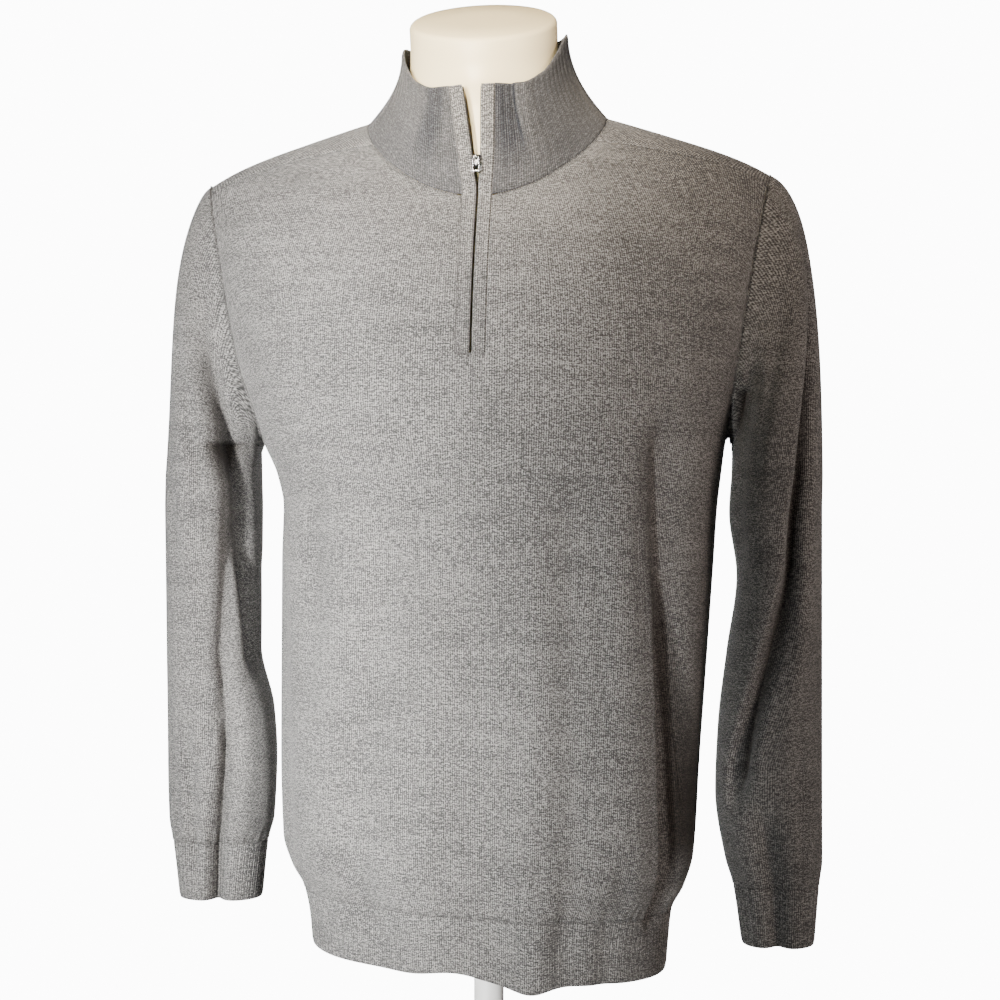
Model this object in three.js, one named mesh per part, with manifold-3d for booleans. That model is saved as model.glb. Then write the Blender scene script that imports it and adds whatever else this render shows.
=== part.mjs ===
// A fine-knit quarter zip sweater on a limbless torso form, which stands on a pole and a round base.
// Millimetres, +Z up, the base on z = 0. The zip faces -Y and the wearer's left is towards +X.
// Each piece of cloth is a thin wall: an outer sheet of points, and the same sheet moved in along its normals.
import * as THREE from "three";
import { mergeVertices } from "three/addons/utils/BufferGeometryUtils.js";
import Module from "manifold-3d";

// Driving dimensions
const WALL = 1.6; // thickness of the knitted cloth
const SEAM = 0.3; // gap between two pieces at a seam
const UNDERARM = 669; // height of the underarm, where the armholes start
const WAISTBAND = 304; // height of the seam between the body and its ribbed waistband
const HEM = 257; // height of the finished bottom edge
const HEM_LEAN = 10; // the hem hangs this much lower at the wearer's left side
const PLACKET = 11.5; // half the width of the opening that the two zip bands fill
const ZIP_FOOT = 0.27; // where the zip ends, as a share of the way from underarm to neck seam
const SQUARENESS = 2.3; // exponent of the body's rounded plan section
const NECK = { half: 97, front: -82, back: 62 }; // the neck seam seen from above
const SHOULDER_SEAM = { atNeck: -40, atTip: -13 }; // the seam runs in front of the shoulder ridge
const CORNER_COLUMN = 0.45; // share of the panel's columns that end at the neck seam
const RIB = 0.6; // height of the collar's raised ribs
const COLLAR_TOP = { half: 66, middle: -29, depth: 65 }; // top rim of the collar seen from above
const ARM = {
  right: { side: -1, underarm: 185, tip: 229, shoulder: 0.115, slack: 9 },
  left: { side: 1, underarm: 191, tip: 226, shoulder: 0.175, slack: 1 },
}; // shoulder and slack set how roundly each sleeve cap turns down
const CUFF = { height: 47, right: 344, left: 317 }; // height of the cuff, and where its seam lies
const POLE = { radius: 12, sides: 24 };
const BASE = { radius: 150, thickness: 8 };
const FORM_FOOT = 330; // underside of the torso form

const DEGREE = Math.PI / 180;
const clamp = (value, low, high) => Math.min(high, Math.max(low, value));
const mix = (a, b, share) => a + (b - a) * share;

// A smooth curve through one column of a table, which never overshoots between two rows.
function curve(rows, key, column) {
  const at = rows.map((row) => row[key]);
  const value = rows.map((row) => row[column]);
  const last = at.length - 1;
  const rise = at.slice(1).map((x, i) => (value[i + 1] - value[i]) / (x - at[i]));
  const slope = at.map((_, i) => {
    if (i === 0) return rise[0];
    if (i === last) return rise[last - 1];
    const both = rise[i - 1] * rise[i];
    return both <= 0 ? 0 : (2 * both) / (rise[i - 1] + rise[i]);
  });
  return (x) => {
    let i = 0;
    while (i < last - 1 && x > at[i + 1]) i += 1;
    const width = at[i + 1] - at[i];
    const t = clamp((x - at[i]) / width, 0, 1);
    const keep = (1 + 2 * t) * (1 - t) ** 2;
    const reach = t * t * (3 - 2 * t);
    const leave = t * (1 - t) ** 2 * width * slope[i];
    const arrive = t * t * (t - 1) * width * slope[i + 1];
    return value[i] * keep + value[i + 1] * reach + leave + arrive;
  };
}

// The body at each height: half widths at the wearer's right and left, and the reach to front and back.
const TORSO = [
  { z: 256, right: 142, left: 143, front: 109, back: 108 },
  { z: 280, right: 144, left: 145, front: 111, back: 110 },
  { z: 304, right: 149, left: 148, front: 114, back: 112 },
  { z: 322, right: 159, left: 158, front: 118, back: 115 },
  { z: 345, right: 166, left: 165, front: 120, back: 117 },
  { z: 420, right: 168, left: 170, front: 121, back: 115 },
  { z: 500, right: 168, left: 176, front: 121, back: 111 },
  { z: 571, right: 168, left: 181, front: 123, back: 112 },
  { z: 615, right: 167, left: 184, front: 126, back: 116 },
  { z: 640, right: 172, left: 187, front: 129, back: 119 },
  { z: 669, right: 185, left: 191, front: 131, back: 121 },
  { z: 700, right: 196, left: 200, front: 132, back: 124 },
  { z: 740, right: 211, left: 214, front: 131, back: 126 },
  { z: 780, right: 225, left: 226, front: 129, back: 126 },
  { z: 830, right: 238, left: 236, front: 126, back: 123 },
  { z: 879, right: 251, left: 247, front: 122, back: 118 },
  { z: 945, right: 260, left: 258, front: 118, back: 112 },
];
const torso = Object.fromEntries(
  ["right", "left", "front", "back"].map((column) => [column, curve(TORSO, "z", column)]),
);

// The shoulder ridge: its height at each distance from the middle.
const RIDGE = [
  { x: 0, z: 938 },
  { x: 60, z: 935 },
  { x: 95, z: 927 },
  { x: 125, z: 918 },
  { x: 150, z: 910 },
  { x: 180, z: 900 },
  { x: 205, z: 890 },
  { x: 229, z: 877 },
  { x: 250, z: 862 },
];
const ridge = curve(RIDGE, "x", "z");

// How roundly chest and back turn over into the ridge: the reach of the two handles of a cubic curve.
const TURN = {
  front: { rise: 0.65, shelf: 0.25 },
  back: { rise: 0.8, shelf: 0.45 },
};

// Hanging folds of the body. Angles run from the centre front, positive to the wearer's left, and 180 is the
// centre back. Each fold goes from one angle and height to another; a negative depth is a ridge.
const BODY_FOLDS = [
  { fromZ: 575, toZ: 300, from: -19, to: -32, depth: 5.5, width: 7 },
  { fromZ: 520, toZ: 292, from: 1, to: 3, depth: 5, width: 7 },
  { fromZ: 600, toZ: 290, from: 21, to: 25, depth: 6.5, width: 6 },
  { fromZ: 715, toZ: 330, from: 42, to: 62, depth: 15, width: 6.5 },
  { fromZ: 640, toZ: 330, from: 33, to: 44, depth: -5, width: 8 },
  { fromZ: 600, toZ: 480, from: -47, to: -50, depth: 3, width: 8 },
  { fromZ: 322, toZ: 255, from: 40, to: 41, depth: 4, width: 5 },
  { fromZ: 300, toZ: 245, from: 17, to: 15, depth: -7, width: 7 },
  { fromZ: 300, toZ: 245, from: -28, to: -24, depth: 3, width: 8 },
  { fromZ: 700, toZ: 360, from: -78, to: -66, depth: 4, width: 7 },
  { fromZ: 690, toZ: 300, from: 122, to: 128, depth: 9, width: 7 },
  { fromZ: 690, toZ: 320, from: -124, to: -132, depth: 8, width: 7 },
  { fromZ: 640, toZ: 280, from: 150, to: 146, depth: 6, width: 8 },
  { fromZ: 560, toZ: 260, from: 176, to: 172, depth: 5.5, width: 8 },
  { fromZ: 620, toZ: 270, from: -154, to: -150, depth: 6, width: 8 },
];
const FOLD_FADE = 46; // a fold fades out over this height at each end

// The angle at which a fold lies at one height: straight from end to end, or along its bends.
function foldAngleAt(fold, z) {
  if (fold.bends) return fold.bends(z);
  return mix(fold.from, fold.to, clamp((fold.fromZ - z) / (fold.fromZ - fold.toZ), 0, 1));
}

// How far all the folds move the cloth in at one angle and height.
function foldDepth(folds, angle, z, fade) {
  return folds.reduce((sum, fold) => {
    const away = ((angle - foldAngleAt(fold, z) + 540) % 360) - 180;
    const shown = clamp(Math.min(fold.fromZ - z, z - fold.toZ) / fade + 1, 0, 1);
    const ease = shown * shown * (3 - 2 * shown);
    return sum + fold.depth * ease * Math.exp(-((away / fold.width) ** 2));
  }, 0);
}

const signedPower = (value, power) => Math.sign(value) * Math.abs(value) ** power;
const leanOf = (x, z) => (-HEM_LEAN * x * clamp((500 - z) / 243, 0, 1)) / 150;

// A point of the body moved in by its folds. The move is level, square to the plan section.
function folded(x, y, z, halfWidth, reach, angle) {
  const depth = foldDepth(BODY_FOLDS, angle, z, FOLD_FADE);
  const out = new THREE.Vector2(x / halfWidth ** 2, y / reach ** 2).normalize();
  return new THREE.Vector3(x - out.x * depth, y - out.y * depth, z + leanOf(x, z));
}

// The body below the underarm: plan sections with rounded corners.
function bodyPoint(angle, z) {
  const halfWidth = angle < 0 ? torso.right(z) : torso.left(z);
  const reach = Math.abs(angle) < 90 ? torso.front(z) : torso.back(z);
  const x = halfWidth * signedPower(Math.sin(angle * DEGREE), 2 / SQUARENESS);
  const y = -reach * signedPower(Math.cos(angle * DEGREE), 2 / SQUARENESS);
  return folded(x, y, z, halfWidth, reach, angle);
}

// The yoke above the underarm. turn runs from -1 at the front underarm level over 0 on the ridge to 1 at the
// back: each section across the shoulder is a cubic curve that leaves upright and arrives level on the ridge.
function yokeSection(x, turn) {
  const t = 1 - Math.abs(turn);
  const { rise, shelf } = turn < 0 ? TURN.front : TURN.back;
  const height = ridge(Math.abs(x)) - UNDERARM;
  const up = 3 * (1 - t) ** 2 * t * rise + 3 * (1 - t) * t * t + t ** 3;
  const out = (1 - t) ** 3 + 3 * (1 - t) ** 2 * t + 3 * (1 - t) * t * t * shelf;
  const z = UNDERARM + height * up;
  const halfWidth = x < 0 ? torso.right(z) : torso.left(z);
  const reach = turn < 0 ? torso.front(z) : torso.back(z);
  const share = Math.min(1, Math.abs(x) / halfWidth);
  const y = Math.sign(turn || 1) * reach * (1 - share ** SQUARENESS) ** (1 / SQUARENESS) * out;
  return { y, z, halfWidth, reach, share };
}

function yokePoint(x, turn) {
  const { y, z, halfWidth, reach, share } = yokeSection(x, turn);
  const aside = Math.asin(share ** (SQUARENESS / 2)) / DEGREE;
  const angle = Math.sign(x) * (turn < 0 ? aside : 180 - aside);
  return folded(x, y, z, halfWidth, reach, angle);
}

// The turn at which the yoke passes through a given y at a given x.
function turnAt(x, y) {
  const side = Math.sign(y) || 1;
  let low = 0;
  let high = 1;
  for (let step = 0; step < 40; step += 1) {
    const middle = (low + high) / 2;
    if (Math.abs(yokeSection(x, side * middle).y) < Math.abs(y)) low = middle;
    else high = middle;
  }
  return side * low;
}

// The armhole edge: its distance from the middle at each turn.
const armholeX = (arm, turn) =>
  mix(arm.underarm, arm.tip, Math.cos(Math.abs(turn) * 90 * DEGREE));

// The neck seam at an angle from the centre front, seen from above, grown or shrunk by a clearance.
function neckSeam(angle, clearance) {
  const middle = (NECK.front + NECK.back) / 2;
  const depth = (NECK.back - NECK.front) / 2 + clearance;
  return {
    x: (NECK.half + clearance) * Math.sin(angle * DEGREE),
    y: middle - depth * Math.cos(angle * DEGREE),
  };
}

// Where the shoulder seam meets the neck seam, as an angle round the neck.
const seamY = (x, arm) =>
  mix(SHOULDER_SEAM.atNeck, SHOULDER_SEAM.atTip, clamp((x - 88) / (arm.tip - 88), 0, 1));
const CORNER_ANGLE =
  Math.acos(
    ((NECK.front + NECK.back) / 2 - SHOULDER_SEAM.atNeck) / ((NECK.back - NECK.front) / 2),
  ) / DEGREE;

// A path of straight lines through the points that make gives for a rising list of places.
const polyline = (places, make) => {
  const points = places.map(make);
  return (place) => {
    let i = 0;
    while (i < places.length - 2 && place > places[i + 1]) i += 1;
    return points[i].clone().lerp(points[i + 1], (place - places[i]) / (places[i + 1] - places[i]));
  };
};

// The top edge of the front or back panel at a column from 0, the centre, to 1, the armhole.
function topEdge(arm, column, panel) {
  const { inner, start, gap } = panel;
  if (column <= CORNER_COLUMN) {
    const angle = mix(start, CORNER_ANGLE, column / CORNER_COLUMN);
    const seam = neckSeam(angle, SEAM / 2);
    const x = arm.side * Math.max(seam.x, inner);
    return { x, turn: turnAt(x, seam.y + gap * (column / CORNER_COLUMN) ** 4) };
  }
  const corner = neckSeam(CORNER_ANGLE, SEAM / 2).x;
  const x = arm.side * mix(corner, arm.tip - SEAM / 2, (column - CORNER_COLUMN) / (1 - CORNER_COLUMN));
  return { x, turn: turnAt(x, seamY(Math.abs(x), arm) + gap) };
}

// One point of a body panel. column runs from -1 to 1 across it. row runs from 0 at the waistband seam to 1
// at the underarm, and from 1 to 2 at the top edge.
function panelPoint(panel, column, row) {
  const arm = column < 0 ? ARM.right : ARM.left;
  const share = Math.max(0, (Math.abs(column) - panel.centre) / (1 - panel.centre));
  const within = Math.min(1, Math.abs(column) / (panel.centre || 1));
  const z = mix(WAISTBAND + SEAM / 2, UNDERARM, Math.min(1, row));
  const reach = panel.front ? torso.front(z) : torso.back(z);
  const seamAngle = Math.acos((SEAM / 2 / reach) ** (SQUARENESS / 2)) / DEGREE;
  const halfWidth = arm.side < 0 ? torso.right(z) : torso.left(z);
  const innerAngle = Math.asin((panel.inner / halfWidth) ** (SQUARENESS / 2)) / DEGREE;
  const aside = share > 0 ? mix(innerAngle, seamAngle, share) : 0;
  if (row <= 1) {
    if (share === 0 && panel.front) {
      const x = arm.side * panel.inner * within;
      const angle = (Math.asin((Math.abs(x) / halfWidth) ** (SQUARENESS / 2)) / DEGREE) * arm.side;
      return bodyPoint(angle, z);
    }
    return bodyPoint(arm.side * (panel.front ? aside : 180 - aside), z);
  }
  const climb = row - 1;
  const top = topEdge(arm, share, panel);
  const low = panel.front ? -1 : 1;
  const turn = mix(low, top.turn, climb);
  const edge = armholeX(arm, turn) - SEAM / 2;
  if (share === 0) return yokePoint(arm.side * panel.inner * within, turn);
  const lowX = halfWidth * Math.sin(aside * DEGREE) ** (2 / SQUARENESS);
  const lowShare = (lowX - panel.inner) / (armholeX(arm, low) - SEAM / 2 - panel.inner);
  const topShare =
    (Math.abs(top.x) - panel.inner) / (armholeX(arm, top.turn) - SEAM / 2 - panel.inner);
  const across = share > 0.9999 ? 1 : mix(lowShare, topShare, climb * climb);
  return yokePoint(arm.side * mix(panel.inner, edge, across), turn);
}

const FRONT = { front: true, inner: PLACKET, centre: 0.06, start: 7, gap: -0.24, toNeck: 5 };
const BACK = { front: false, inner: 0, centre: 0, start: 180, gap: 0.24, toNeck: 7 };
const SHOULDER_COLUMNS = 9; // columns from the neck corner to the armhole, the same at front and back
const YOKE_ROWS = 9; // rows of the back from underarm to top edge

// Turns a sheet of points, given by a function of two grid places, into a closed wall. A cell that keep
// refuses is left out, and every open edge, at a border or round a left out cell, gets a rim. inwards may bend
// the direction of the thickness, which keeps a seam's edge from leaning over its neighbour's.
function clothWall({ columns, rows, point, closed, keep = () => true, wall = WALL, out = 0, inwards }) {
  const step = 1e-3 * Math.sign((columns[1] - columns[0]) * (rows[1] - rows[0]));
  const outer = [];
  const inner = [];
  const place = (i, j) => (closed ? i % columns.length : i) + j * columns.length;
  for (const row of rows) {
    for (const column of columns) {
      const here = point(column, row);
      const across = point(column + step, row).sub(point(column - step, row));
      const along = point(column, row + 1e-3).sub(point(column, row - 1e-3));
      const normal = across.cross(along).normalize();
      outer.push(here.clone().addScaledVector(normal, out));
      const back = normal.clone().negate();
      if (inwards) inwards(back, column, row, here);
      inner.push(outer[outer.length - 1].clone().addScaledVector(back.normalize(), wall));
    }
  }
  const points = [...outer, ...inner];
  const triangles = [];
  const edges = new Map();
  const quad = (a, b, c, d) => triangles.push(a, b, c, a, c, d);
  const cells = closed ? columns.length : columns.length - 1;
  for (let j = 0; j + 1 < rows.length; j += 1) {
    for (let i = 0; i < cells; i += 1) {
      if (!keep(i, j)) continue;
      const ring = [place(i, j), place(i + 1, j), place(i + 1, j + 1), place(i, j + 1)];
      quad(...ring);
      quad(...ring.map((corner) => corner + outer.length).reverse());
      ring.forEach((from, k) => {
        const to = ring[(k + 1) % 4];
        if (edges.has(`${to},${from}`)) edges.delete(`${to},${from}`);
        else edges.set(`${from},${to}`, [from, to]);
      });
    }
  }
  for (const [from, to] of edges.values()) {
    quad(to, from, from + outer.length, to + outer.length);
  }
  const geometry = new THREE.BufferGeometry().setFromPoints(points);
  geometry.setIndex(triangles);
  return geometry;
}

const steps = (from, to, count) =>
  Array.from({ length: count + 1 }, (_, i) => mix(from, to, i / count));

// The columns of a panel: a few from the centre to the neck corner, then on to the armhole, on both sides.
function panelColumns(panel) {
  const toNeck = steps(0, CORNER_COLUMN, panel.toNeck);
  const side = [...toNeck, ...steps(CORNER_COLUMN, 1, SHOULDER_COLUMNS).slice(1)]
    .map((share) => mix(panel.centre, 1, share))
    .filter((column) => column > 0);
  const columns = [...side.map((column) => -column).reverse(), 0, ...side];
  return panel.front ? columns : columns.reverse();
}

// The rows of a panel above the underarm, as shares of the way to its top edge.
const yokeRows = (panel) =>
  panel.front ? [0, ZIP_FOOT / 2, ...steps(ZIP_FOOT, 1, 7)] : steps(0, 1, YOKE_ROWS);

// A side seam's edge keeps its thickness along the seam, and the neck edge never leans over the collar's.
function panelEdge(back, column, row, here) {
  if (Math.abs(column) > 0.999 && row < 1.01) back.y = 0;
  const fromNeck = new THREE.Vector3(here.x, here.y - (NECK.front + NECK.back) / 2, 0).normalize();
  const lean = back.dot(fromNeck);
  if (row > 1.999 && Math.abs(column) < CORNER_COLUMN + 0.05 && lean < 0) back.addScaledVector(fromNeck, -lean);
}

function frontPanel() {
  const columns = panelColumns(FRONT);
  const rows = [...steps(0, 1, 10), ...yokeRows(FRONT).slice(1).map((row) => 1 + row)];
  const middle = columns.indexOf(0);
  const foot = rows.indexOf(1 + ZIP_FOOT);
  const keep = (i, j) => j < foot || i < middle - 1 || i > middle;
  const point = (column, row) => panelPoint(FRONT, column, row);
  return clothWall({ columns, rows, keep, point, inwards: panelEdge });
}

function backPanel() {
  const rows = [...steps(0, 1, 9), ...yokeRows(BACK).slice(1).map((row) => 1 + row)];
  const point = (column, row) => panelPoint(BACK, column, row);
  return clothWall({ columns: panelColumns(BACK), rows, point, inwards: panelEdge });
}

// The waistband: a ribbed strip at the front and one at the back, which go on below the body's panels.
function waistband(panel) {
  const row = (z) => (z - WAISTBAND - SEAM / 2) / (UNDERARM - WAISTBAND - SEAM / 2);
  const rows = steps(row(HEM), row(WAISTBAND - SEAM), 3);
  const point = (column, height) => panelPoint(panel, column, height);
  return clothWall({ columns: panelColumns(panel), rows, point, inwards: panelEdge });
}

// The arms' sleeves below the armhole: how far out and in they reach, and to front and back.
const SLEEVE = {
  right: [
    { z: 297, outer: 253, inner: 186, front: -35, back: 22 },
    { z: 344, outer: 258, inner: 181, front: -42, back: 27 },
    { z: 362, outer: 261, inner: 176, front: -46, back: 30 },
    { z: 410, outer: 262, inner: 174, front: -50, back: 35 },
    { z: 450, outer: 262, inner: 177, front: -55, back: 42 },
    { z: 500, outer: 262, inner: 189, front: -60, back: 50 },
    { z: 560, outer: 262, inner: 189, front: -66, back: 57 },
    { z: 610, outer: 262, inner: 189, front: -71, back: 62 },
    { z: 640, outer: 261, inner: 190, front: -74, back: 65 },
  ],
  left: [
    { z: 270, outer: 260, inner: 203, front: -40, back: 18 },
    { z: 317, outer: 264, inner: 196, front: -44, back: 22 },
    { z: 336, outer: 266.5, inner: 190, front: -47, back: 26 },
    { z: 390, outer: 266.5, inner: 182, front: -50, back: 33 },
    { z: 440, outer: 266.5, inner: 184, front: -55, back: 41 },
    { z: 500, outer: 266.5, inner: 191, front: -61, back: 50 },
    { z: 560, outer: 266.5, inner: 199, front: -66, back: 57 },
    { z: 610, outer: 266.5, inner: 193, front: -71, back: 62 },
    { z: 640, outer: 267, inner: 195, front: -74, back: 65 },
  ],
};

// The left sleeve's main fold runs down the front and turns in towards the body.
const LEFT_FOLD_BENDS = [
  { z: 415, angle: 132 },
  { z: 502, angle: 98 },
  { z: 625, angle: 68 },
  { z: 717, angle: 54 },
  { z: 800, angle: 42 },
];

// Folds of the empty sleeves. Angles run from the outer side, 90 is the front and 180 the body side. The first
// fold is the main one, and the sleeve's columns crowd together along it.
const SLEEVE_FOLDS = {
  right: [
    { fromZ: 590, toZ: 290, from: 128, to: 92, depth: 17, width: 13 },
    { fromZ: 650, toZ: 460, from: 148, to: 166, depth: 15, width: 14 },
    { fromZ: 720, toZ: 600, from: 128, to: 150, depth: 13, width: 18 },
    { fromZ: 410, toZ: 345, from: 66, to: 70, depth: 4, width: 9 },
    { fromZ: 720, toZ: 420, from: 262, to: 280, depth: 11, width: 15 },
  ],
  left: [
    { fromZ: 800, toZ: 415, bends: curve(LEFT_FOLD_BENDS, "z", "angle"), depth: 20, width: 13 },
    { fromZ: 700, toZ: 600, from: 140, to: 150, depth: 8, width: 16 },
    { fromZ: 350, toZ: 262, from: 96, to: 92, depth: 11, width: 14 },
    { fromZ: 700, toZ: 430, from: 280, to: 262, depth: 11, width: 15 },
  ],
};
const SLEEVE_TOP = 640; // level ring where the sleeve cap ends and the hanging tube starts
const CAP_GAP = 0.6; // the cap starts this far outside the armhole edge at the shoulder
const UNDERARM_GAP = 1.1; // and this far at the underarm
const CROWDING = 0.5; // how strongly the columns crowd along the main fold

// The armhole as the body's panels have it: a path of straight lines from edge point to edge point.
function armholePath(arm) {
  const turns = [FRONT, BACK].map((panel) => {
    const low = panel.front ? -1 : 1;
    const top = topEdge(arm, 1, panel).turn;
    return yokeRows(panel).map((row) => mix(low, top, row));
  });
  const around = [...turns[0], ...turns[1].reverse()];
  return polyline(around, (turn) => yokePoint(arm.side * armholeX(arm, turn), turn));
}

function sleeveMaker(name) {
  const arm = ARM[name];
  const armhole = armholePath(arm);
  const table = SLEEVE[name];
  const reach = Object.fromEntries(
    ["outer", "inner", "front", "back"].map((column) => [column, curve(table, "z", column)]),
  );
  const folds = SLEEVE_FOLDS[name];
  const main = folds[0];

  // A level ring of the tube, before its folds.
  const ring = (angle, z) => {
    const middleX = (reach.outer(z) + reach.inner(z)) / 2;
    const middleY = (reach.front(z) + reach.back(z)) / 2;
    const halfX = (reach.outer(z) - reach.inner(z)) / 2;
    const halfY = (reach.back(z) - reach.front(z)) / 2;
    return new THREE.Vector3(
      arm.side * (middleX + halfX * signedPower(Math.cos(angle * DEGREE), 0.9)),
      middleY - halfY * signedPower(Math.sin(angle * DEGREE), 0.9),
      z,
    );
  };

  // The cap: a cubic curve for each angle, from the armhole edge round to the level ring.
  const cap = (angle, share) => {
    const turn = angle <= 180 ? -angle / 180 : (360 - angle) / 180;
    const start = armhole(turn);
    const high = (1 + Math.cos(angle * DEGREE)) / 2;
    start.x += arm.side * mix(UNDERARM_GAP, CAP_GAP, high);
    const end = ring(angle, SLEEVE_TOP);
    const length = start.distanceTo(end);
    const leave = new THREE.Vector3(
      arm.side * (0.22 + 0.72 * high),
      -0.15 * Math.sin(angle * DEGREE),
      -(1 - 0.58 * high),
    );
    const turning = length * mix(0.36, arm.shoulder, high * high);
    const first = start.clone().addScaledVector(leave.normalize(), turning);
    const arrive = new THREE.Vector3(-arm.side * arm.slack * high ** 4, 0, 0.36 * length);
    const second = end.clone().add(arrive);
    return new THREE.CubicBezierCurve3(start, first, second, end).getPoint(share);
  };

  // A point of the sleeve. along runs from 0 at the armhole to 1 at the level ring, and then to 2 at bottom.
  const pointAt = (angle, along, bottom) => {
    const turned = ((angle % 360) + 360) % 360;
    const onCap = along < 1;
    const z = mix(SLEEVE_TOP, bottom, Math.max(0, along - 1));
    const base = onCap ? cap(turned, along) : ring(turned, z);
    const clear = onCap ? clamp(along / 0.6, 0, 1) : 1;
    const depth = foldDepth(folds, turned, base.z, FOLD_FADE) * clear;
    const middleX = (reach.outer(base.z) + reach.inner(base.z)) / 2;
    const middleY = (reach.front(base.z) + reach.back(base.z)) / 2;
    const towards = new THREE.Vector2(arm.side * middleX - base.x, middleY - base.y);
    towards.setLength(Math.min(depth, 0.62 * towards.length()));
    return new THREE.Vector3(base.x + towards.x, base.y + towards.y, base.z);
  };

  // The main fold's own angle beside a point of the sleeve.
  const foldAngle = (along, bottom) => {
    const z = along < 1 ? mix(800, SLEEVE_TOP, along) : mix(SLEEVE_TOP, bottom, along - 1);
    return foldAngleAt(main, z);
  };
  const crowded = (around, along, bottom) => {
    const crowd = CROWDING * clamp(along / 0.5, 0, 1);
    return foldAngle(along, bottom) + around - (crowd * Math.sin(around * DEGREE)) / DEGREE;
  };
  return { arm, pointAt, crowded };
}

function sleeve(name) {
  const { arm, pointAt, crowded } = sleeveMaker(name);
  const bottom = CUFF[name] + SEAM / 2;
  const columns = steps(0, 360, 28).slice(0, -1);
  if (arm.side > 0) columns.reverse();
  const rows = [...steps(2, 1, 10), ...steps(1, 0, 8).slice(1)];
  const point = (around, along) => pointAt(crowded(around, along, bottom), along, bottom);
  const inwards = (back, around, along) => {
    if (along === 0) back.x = arm.side * Math.max(0, arm.side * back.x);
  };
  return clothWall({ columns, rows, closed: true, point, inwards });
}

function cuff(name) {
  const { arm, pointAt, crowded } = sleeveMaker(name);
  const top = CUFF[name] - SEAM / 2;
  const columns = steps(0, 360, 28).slice(0, -1);
  if (arm.side > 0) columns.reverse();
  const share = (z) => 1 + (SLEEVE_TOP - z) / (SLEEVE_TOP - top);
  const point = (around, z) => pointAt(crowded(around, share(z), top), share(z), top);
  return clothWall({ columns, rows: steps(CUFF[name] - CUFF.height, top, 3), closed: true, point });
}

// The collar: the height of its top rim at each angle from the centre front, and how far inwards its cloth
// sets off from the neck seam.
const COLLAR = [
  { at: 0, rim: 938, lean: -0.12 },
  { at: 30, rim: 940, lean: 0.05 },
  { at: 50, rim: 951, lean: 0.35 },
  { at: 65, rim: 967, lean: 0.55 },
  { at: 80, rim: 983, lean: 0.68 },
  { at: 100, rim: 991, lean: 0.68 },
  { at: 140, rim: 990, lean: 0.5 },
  { at: 180, rim: 987, lean: 0.34 },
];
const RIM_DROP = 9; // at the wearer's right side the rim is this much lower
const evenRim = curve(COLLAR, "at", "rim");
const rimHeight = (angle) =>
  evenRim(Math.abs(angle)) - (angle < 0 ? RIM_DROP * Math.sin(angle * DEGREE) ** 2 : 0);
const baseLean = curve(COLLAR, "at", "lean");

// The neck seam as the body's panels have it, with the collar's clearance.
const NECK_ANGLES = [
  0,
  ...steps(FRONT.start, CORNER_ANGLE, FRONT.toNeck),
  ...steps(CORNER_ANGLE, 180, BACK.toNeck).slice(1),
];
const neckPath = polyline(NECK_ANGLES, (angle) => {
  const seam = neckSeam(angle, -3 * SEAM - RIB);
  return yokePoint(seam.x, turnAt(seam.x, seam.y));
});

function collarPoint(angle, share) {
  const aside = Math.abs(angle);
  const start = neckPath(aside);
  start.x *= Math.sign(angle) || 1;
  const end = new THREE.Vector3(
    COLLAR_TOP.half * Math.sin(angle * DEGREE),
    COLLAR_TOP.middle - COLLAR_TOP.depth * Math.cos(angle * DEGREE),
    rimHeight(angle),
  );
  const lead = start.distanceTo(end) * 0.36;
  const inwards = new THREE.Vector3(-Math.sin(angle * DEGREE), Math.cos(angle * DEGREE), 0);
  const leave = inwards.multiplyScalar(baseLean(aside)).add(new THREE.Vector3(0, 0, 0.75));
  const first = start.clone().addScaledVector(leave.normalize(), lead);
  const second = end.clone().add(new THREE.Vector3(0, 0.1 * lead, -lead));
  return new THREE.CubicBezierCurve3(start, first, second, end).getPoint(share);
}

// The two edges of the zip opening, measured from the middle: shut below the slider, then a narrow V that
// leans to the wearer's right.
const OPENING = [
  { z: 730, right: 0.6, left: 0.6 },
  { z: 860, right: 0.6, left: 0.6 },
  { z: 870, right: 2.2, left: 1.8 },
  { z: 882, right: 3.6, left: 2.8 },
  { z: 895, right: 5.2, left: 3.4 },
  { z: 915, right: 7.9, left: 3.8 },
  { z: 940, right: 11.4, left: 4.4 },
];
const openingEdge = { right: curve(OPENING, "z", "right"), left: curve(OPENING, "z", "left") };
const COLLAR_ROWS = steps(0, 1, 5); // the collar's rows, as shares of its height

// The angle round the neck at which the collar has a given x.
function angleAtX(x, share) {
  let low = -60;
  let high = 60;
  for (let step = 0; step < 30; step += 1) {
    const middle = (low + high) / 2;
    if (collarPoint(middle, share).x < x) low = middle;
    else high = middle;
  }
  return (low + high) / 2;
}

// The collar's share of height that has a given z at the centre front.
function collarShareAt(z) {
  let low = 0;
  let high = 1;
  for (let step = 0; step < 30; step += 1) {
    const middle = (low + high) / 2;
    if (collarPoint(0, middle).z < z) low = middle;
    else high = middle;
  }
  return (low + high) / 2;
}

function collar() {
  const top = collarPoint(0, 1).z;
  const base = collarPoint(0, 0).z;
  const frontEdge = (arm, name, share) => {
    const spread = PLACKET + openingEdge[name](mix(base, top, share)) - 0.6 + SEAM / 2;
    return angleAtX(arm.side * spread, share);
  };
  const point = (around, share) => {
    const from = frontEdge(ARM.left, "left", share);
    const to = frontEdge(ARM.right, "right", share) + 360;
    const angle = mix(from, to, around);
    return collarPoint(angle > 180 ? angle - 360 : angle, share);
  };
  return ribbedWall({ spans: 42, ribsPerSpan: 3, raise: RIB, rows: COLLAR_ROWS, point });
}

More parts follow.
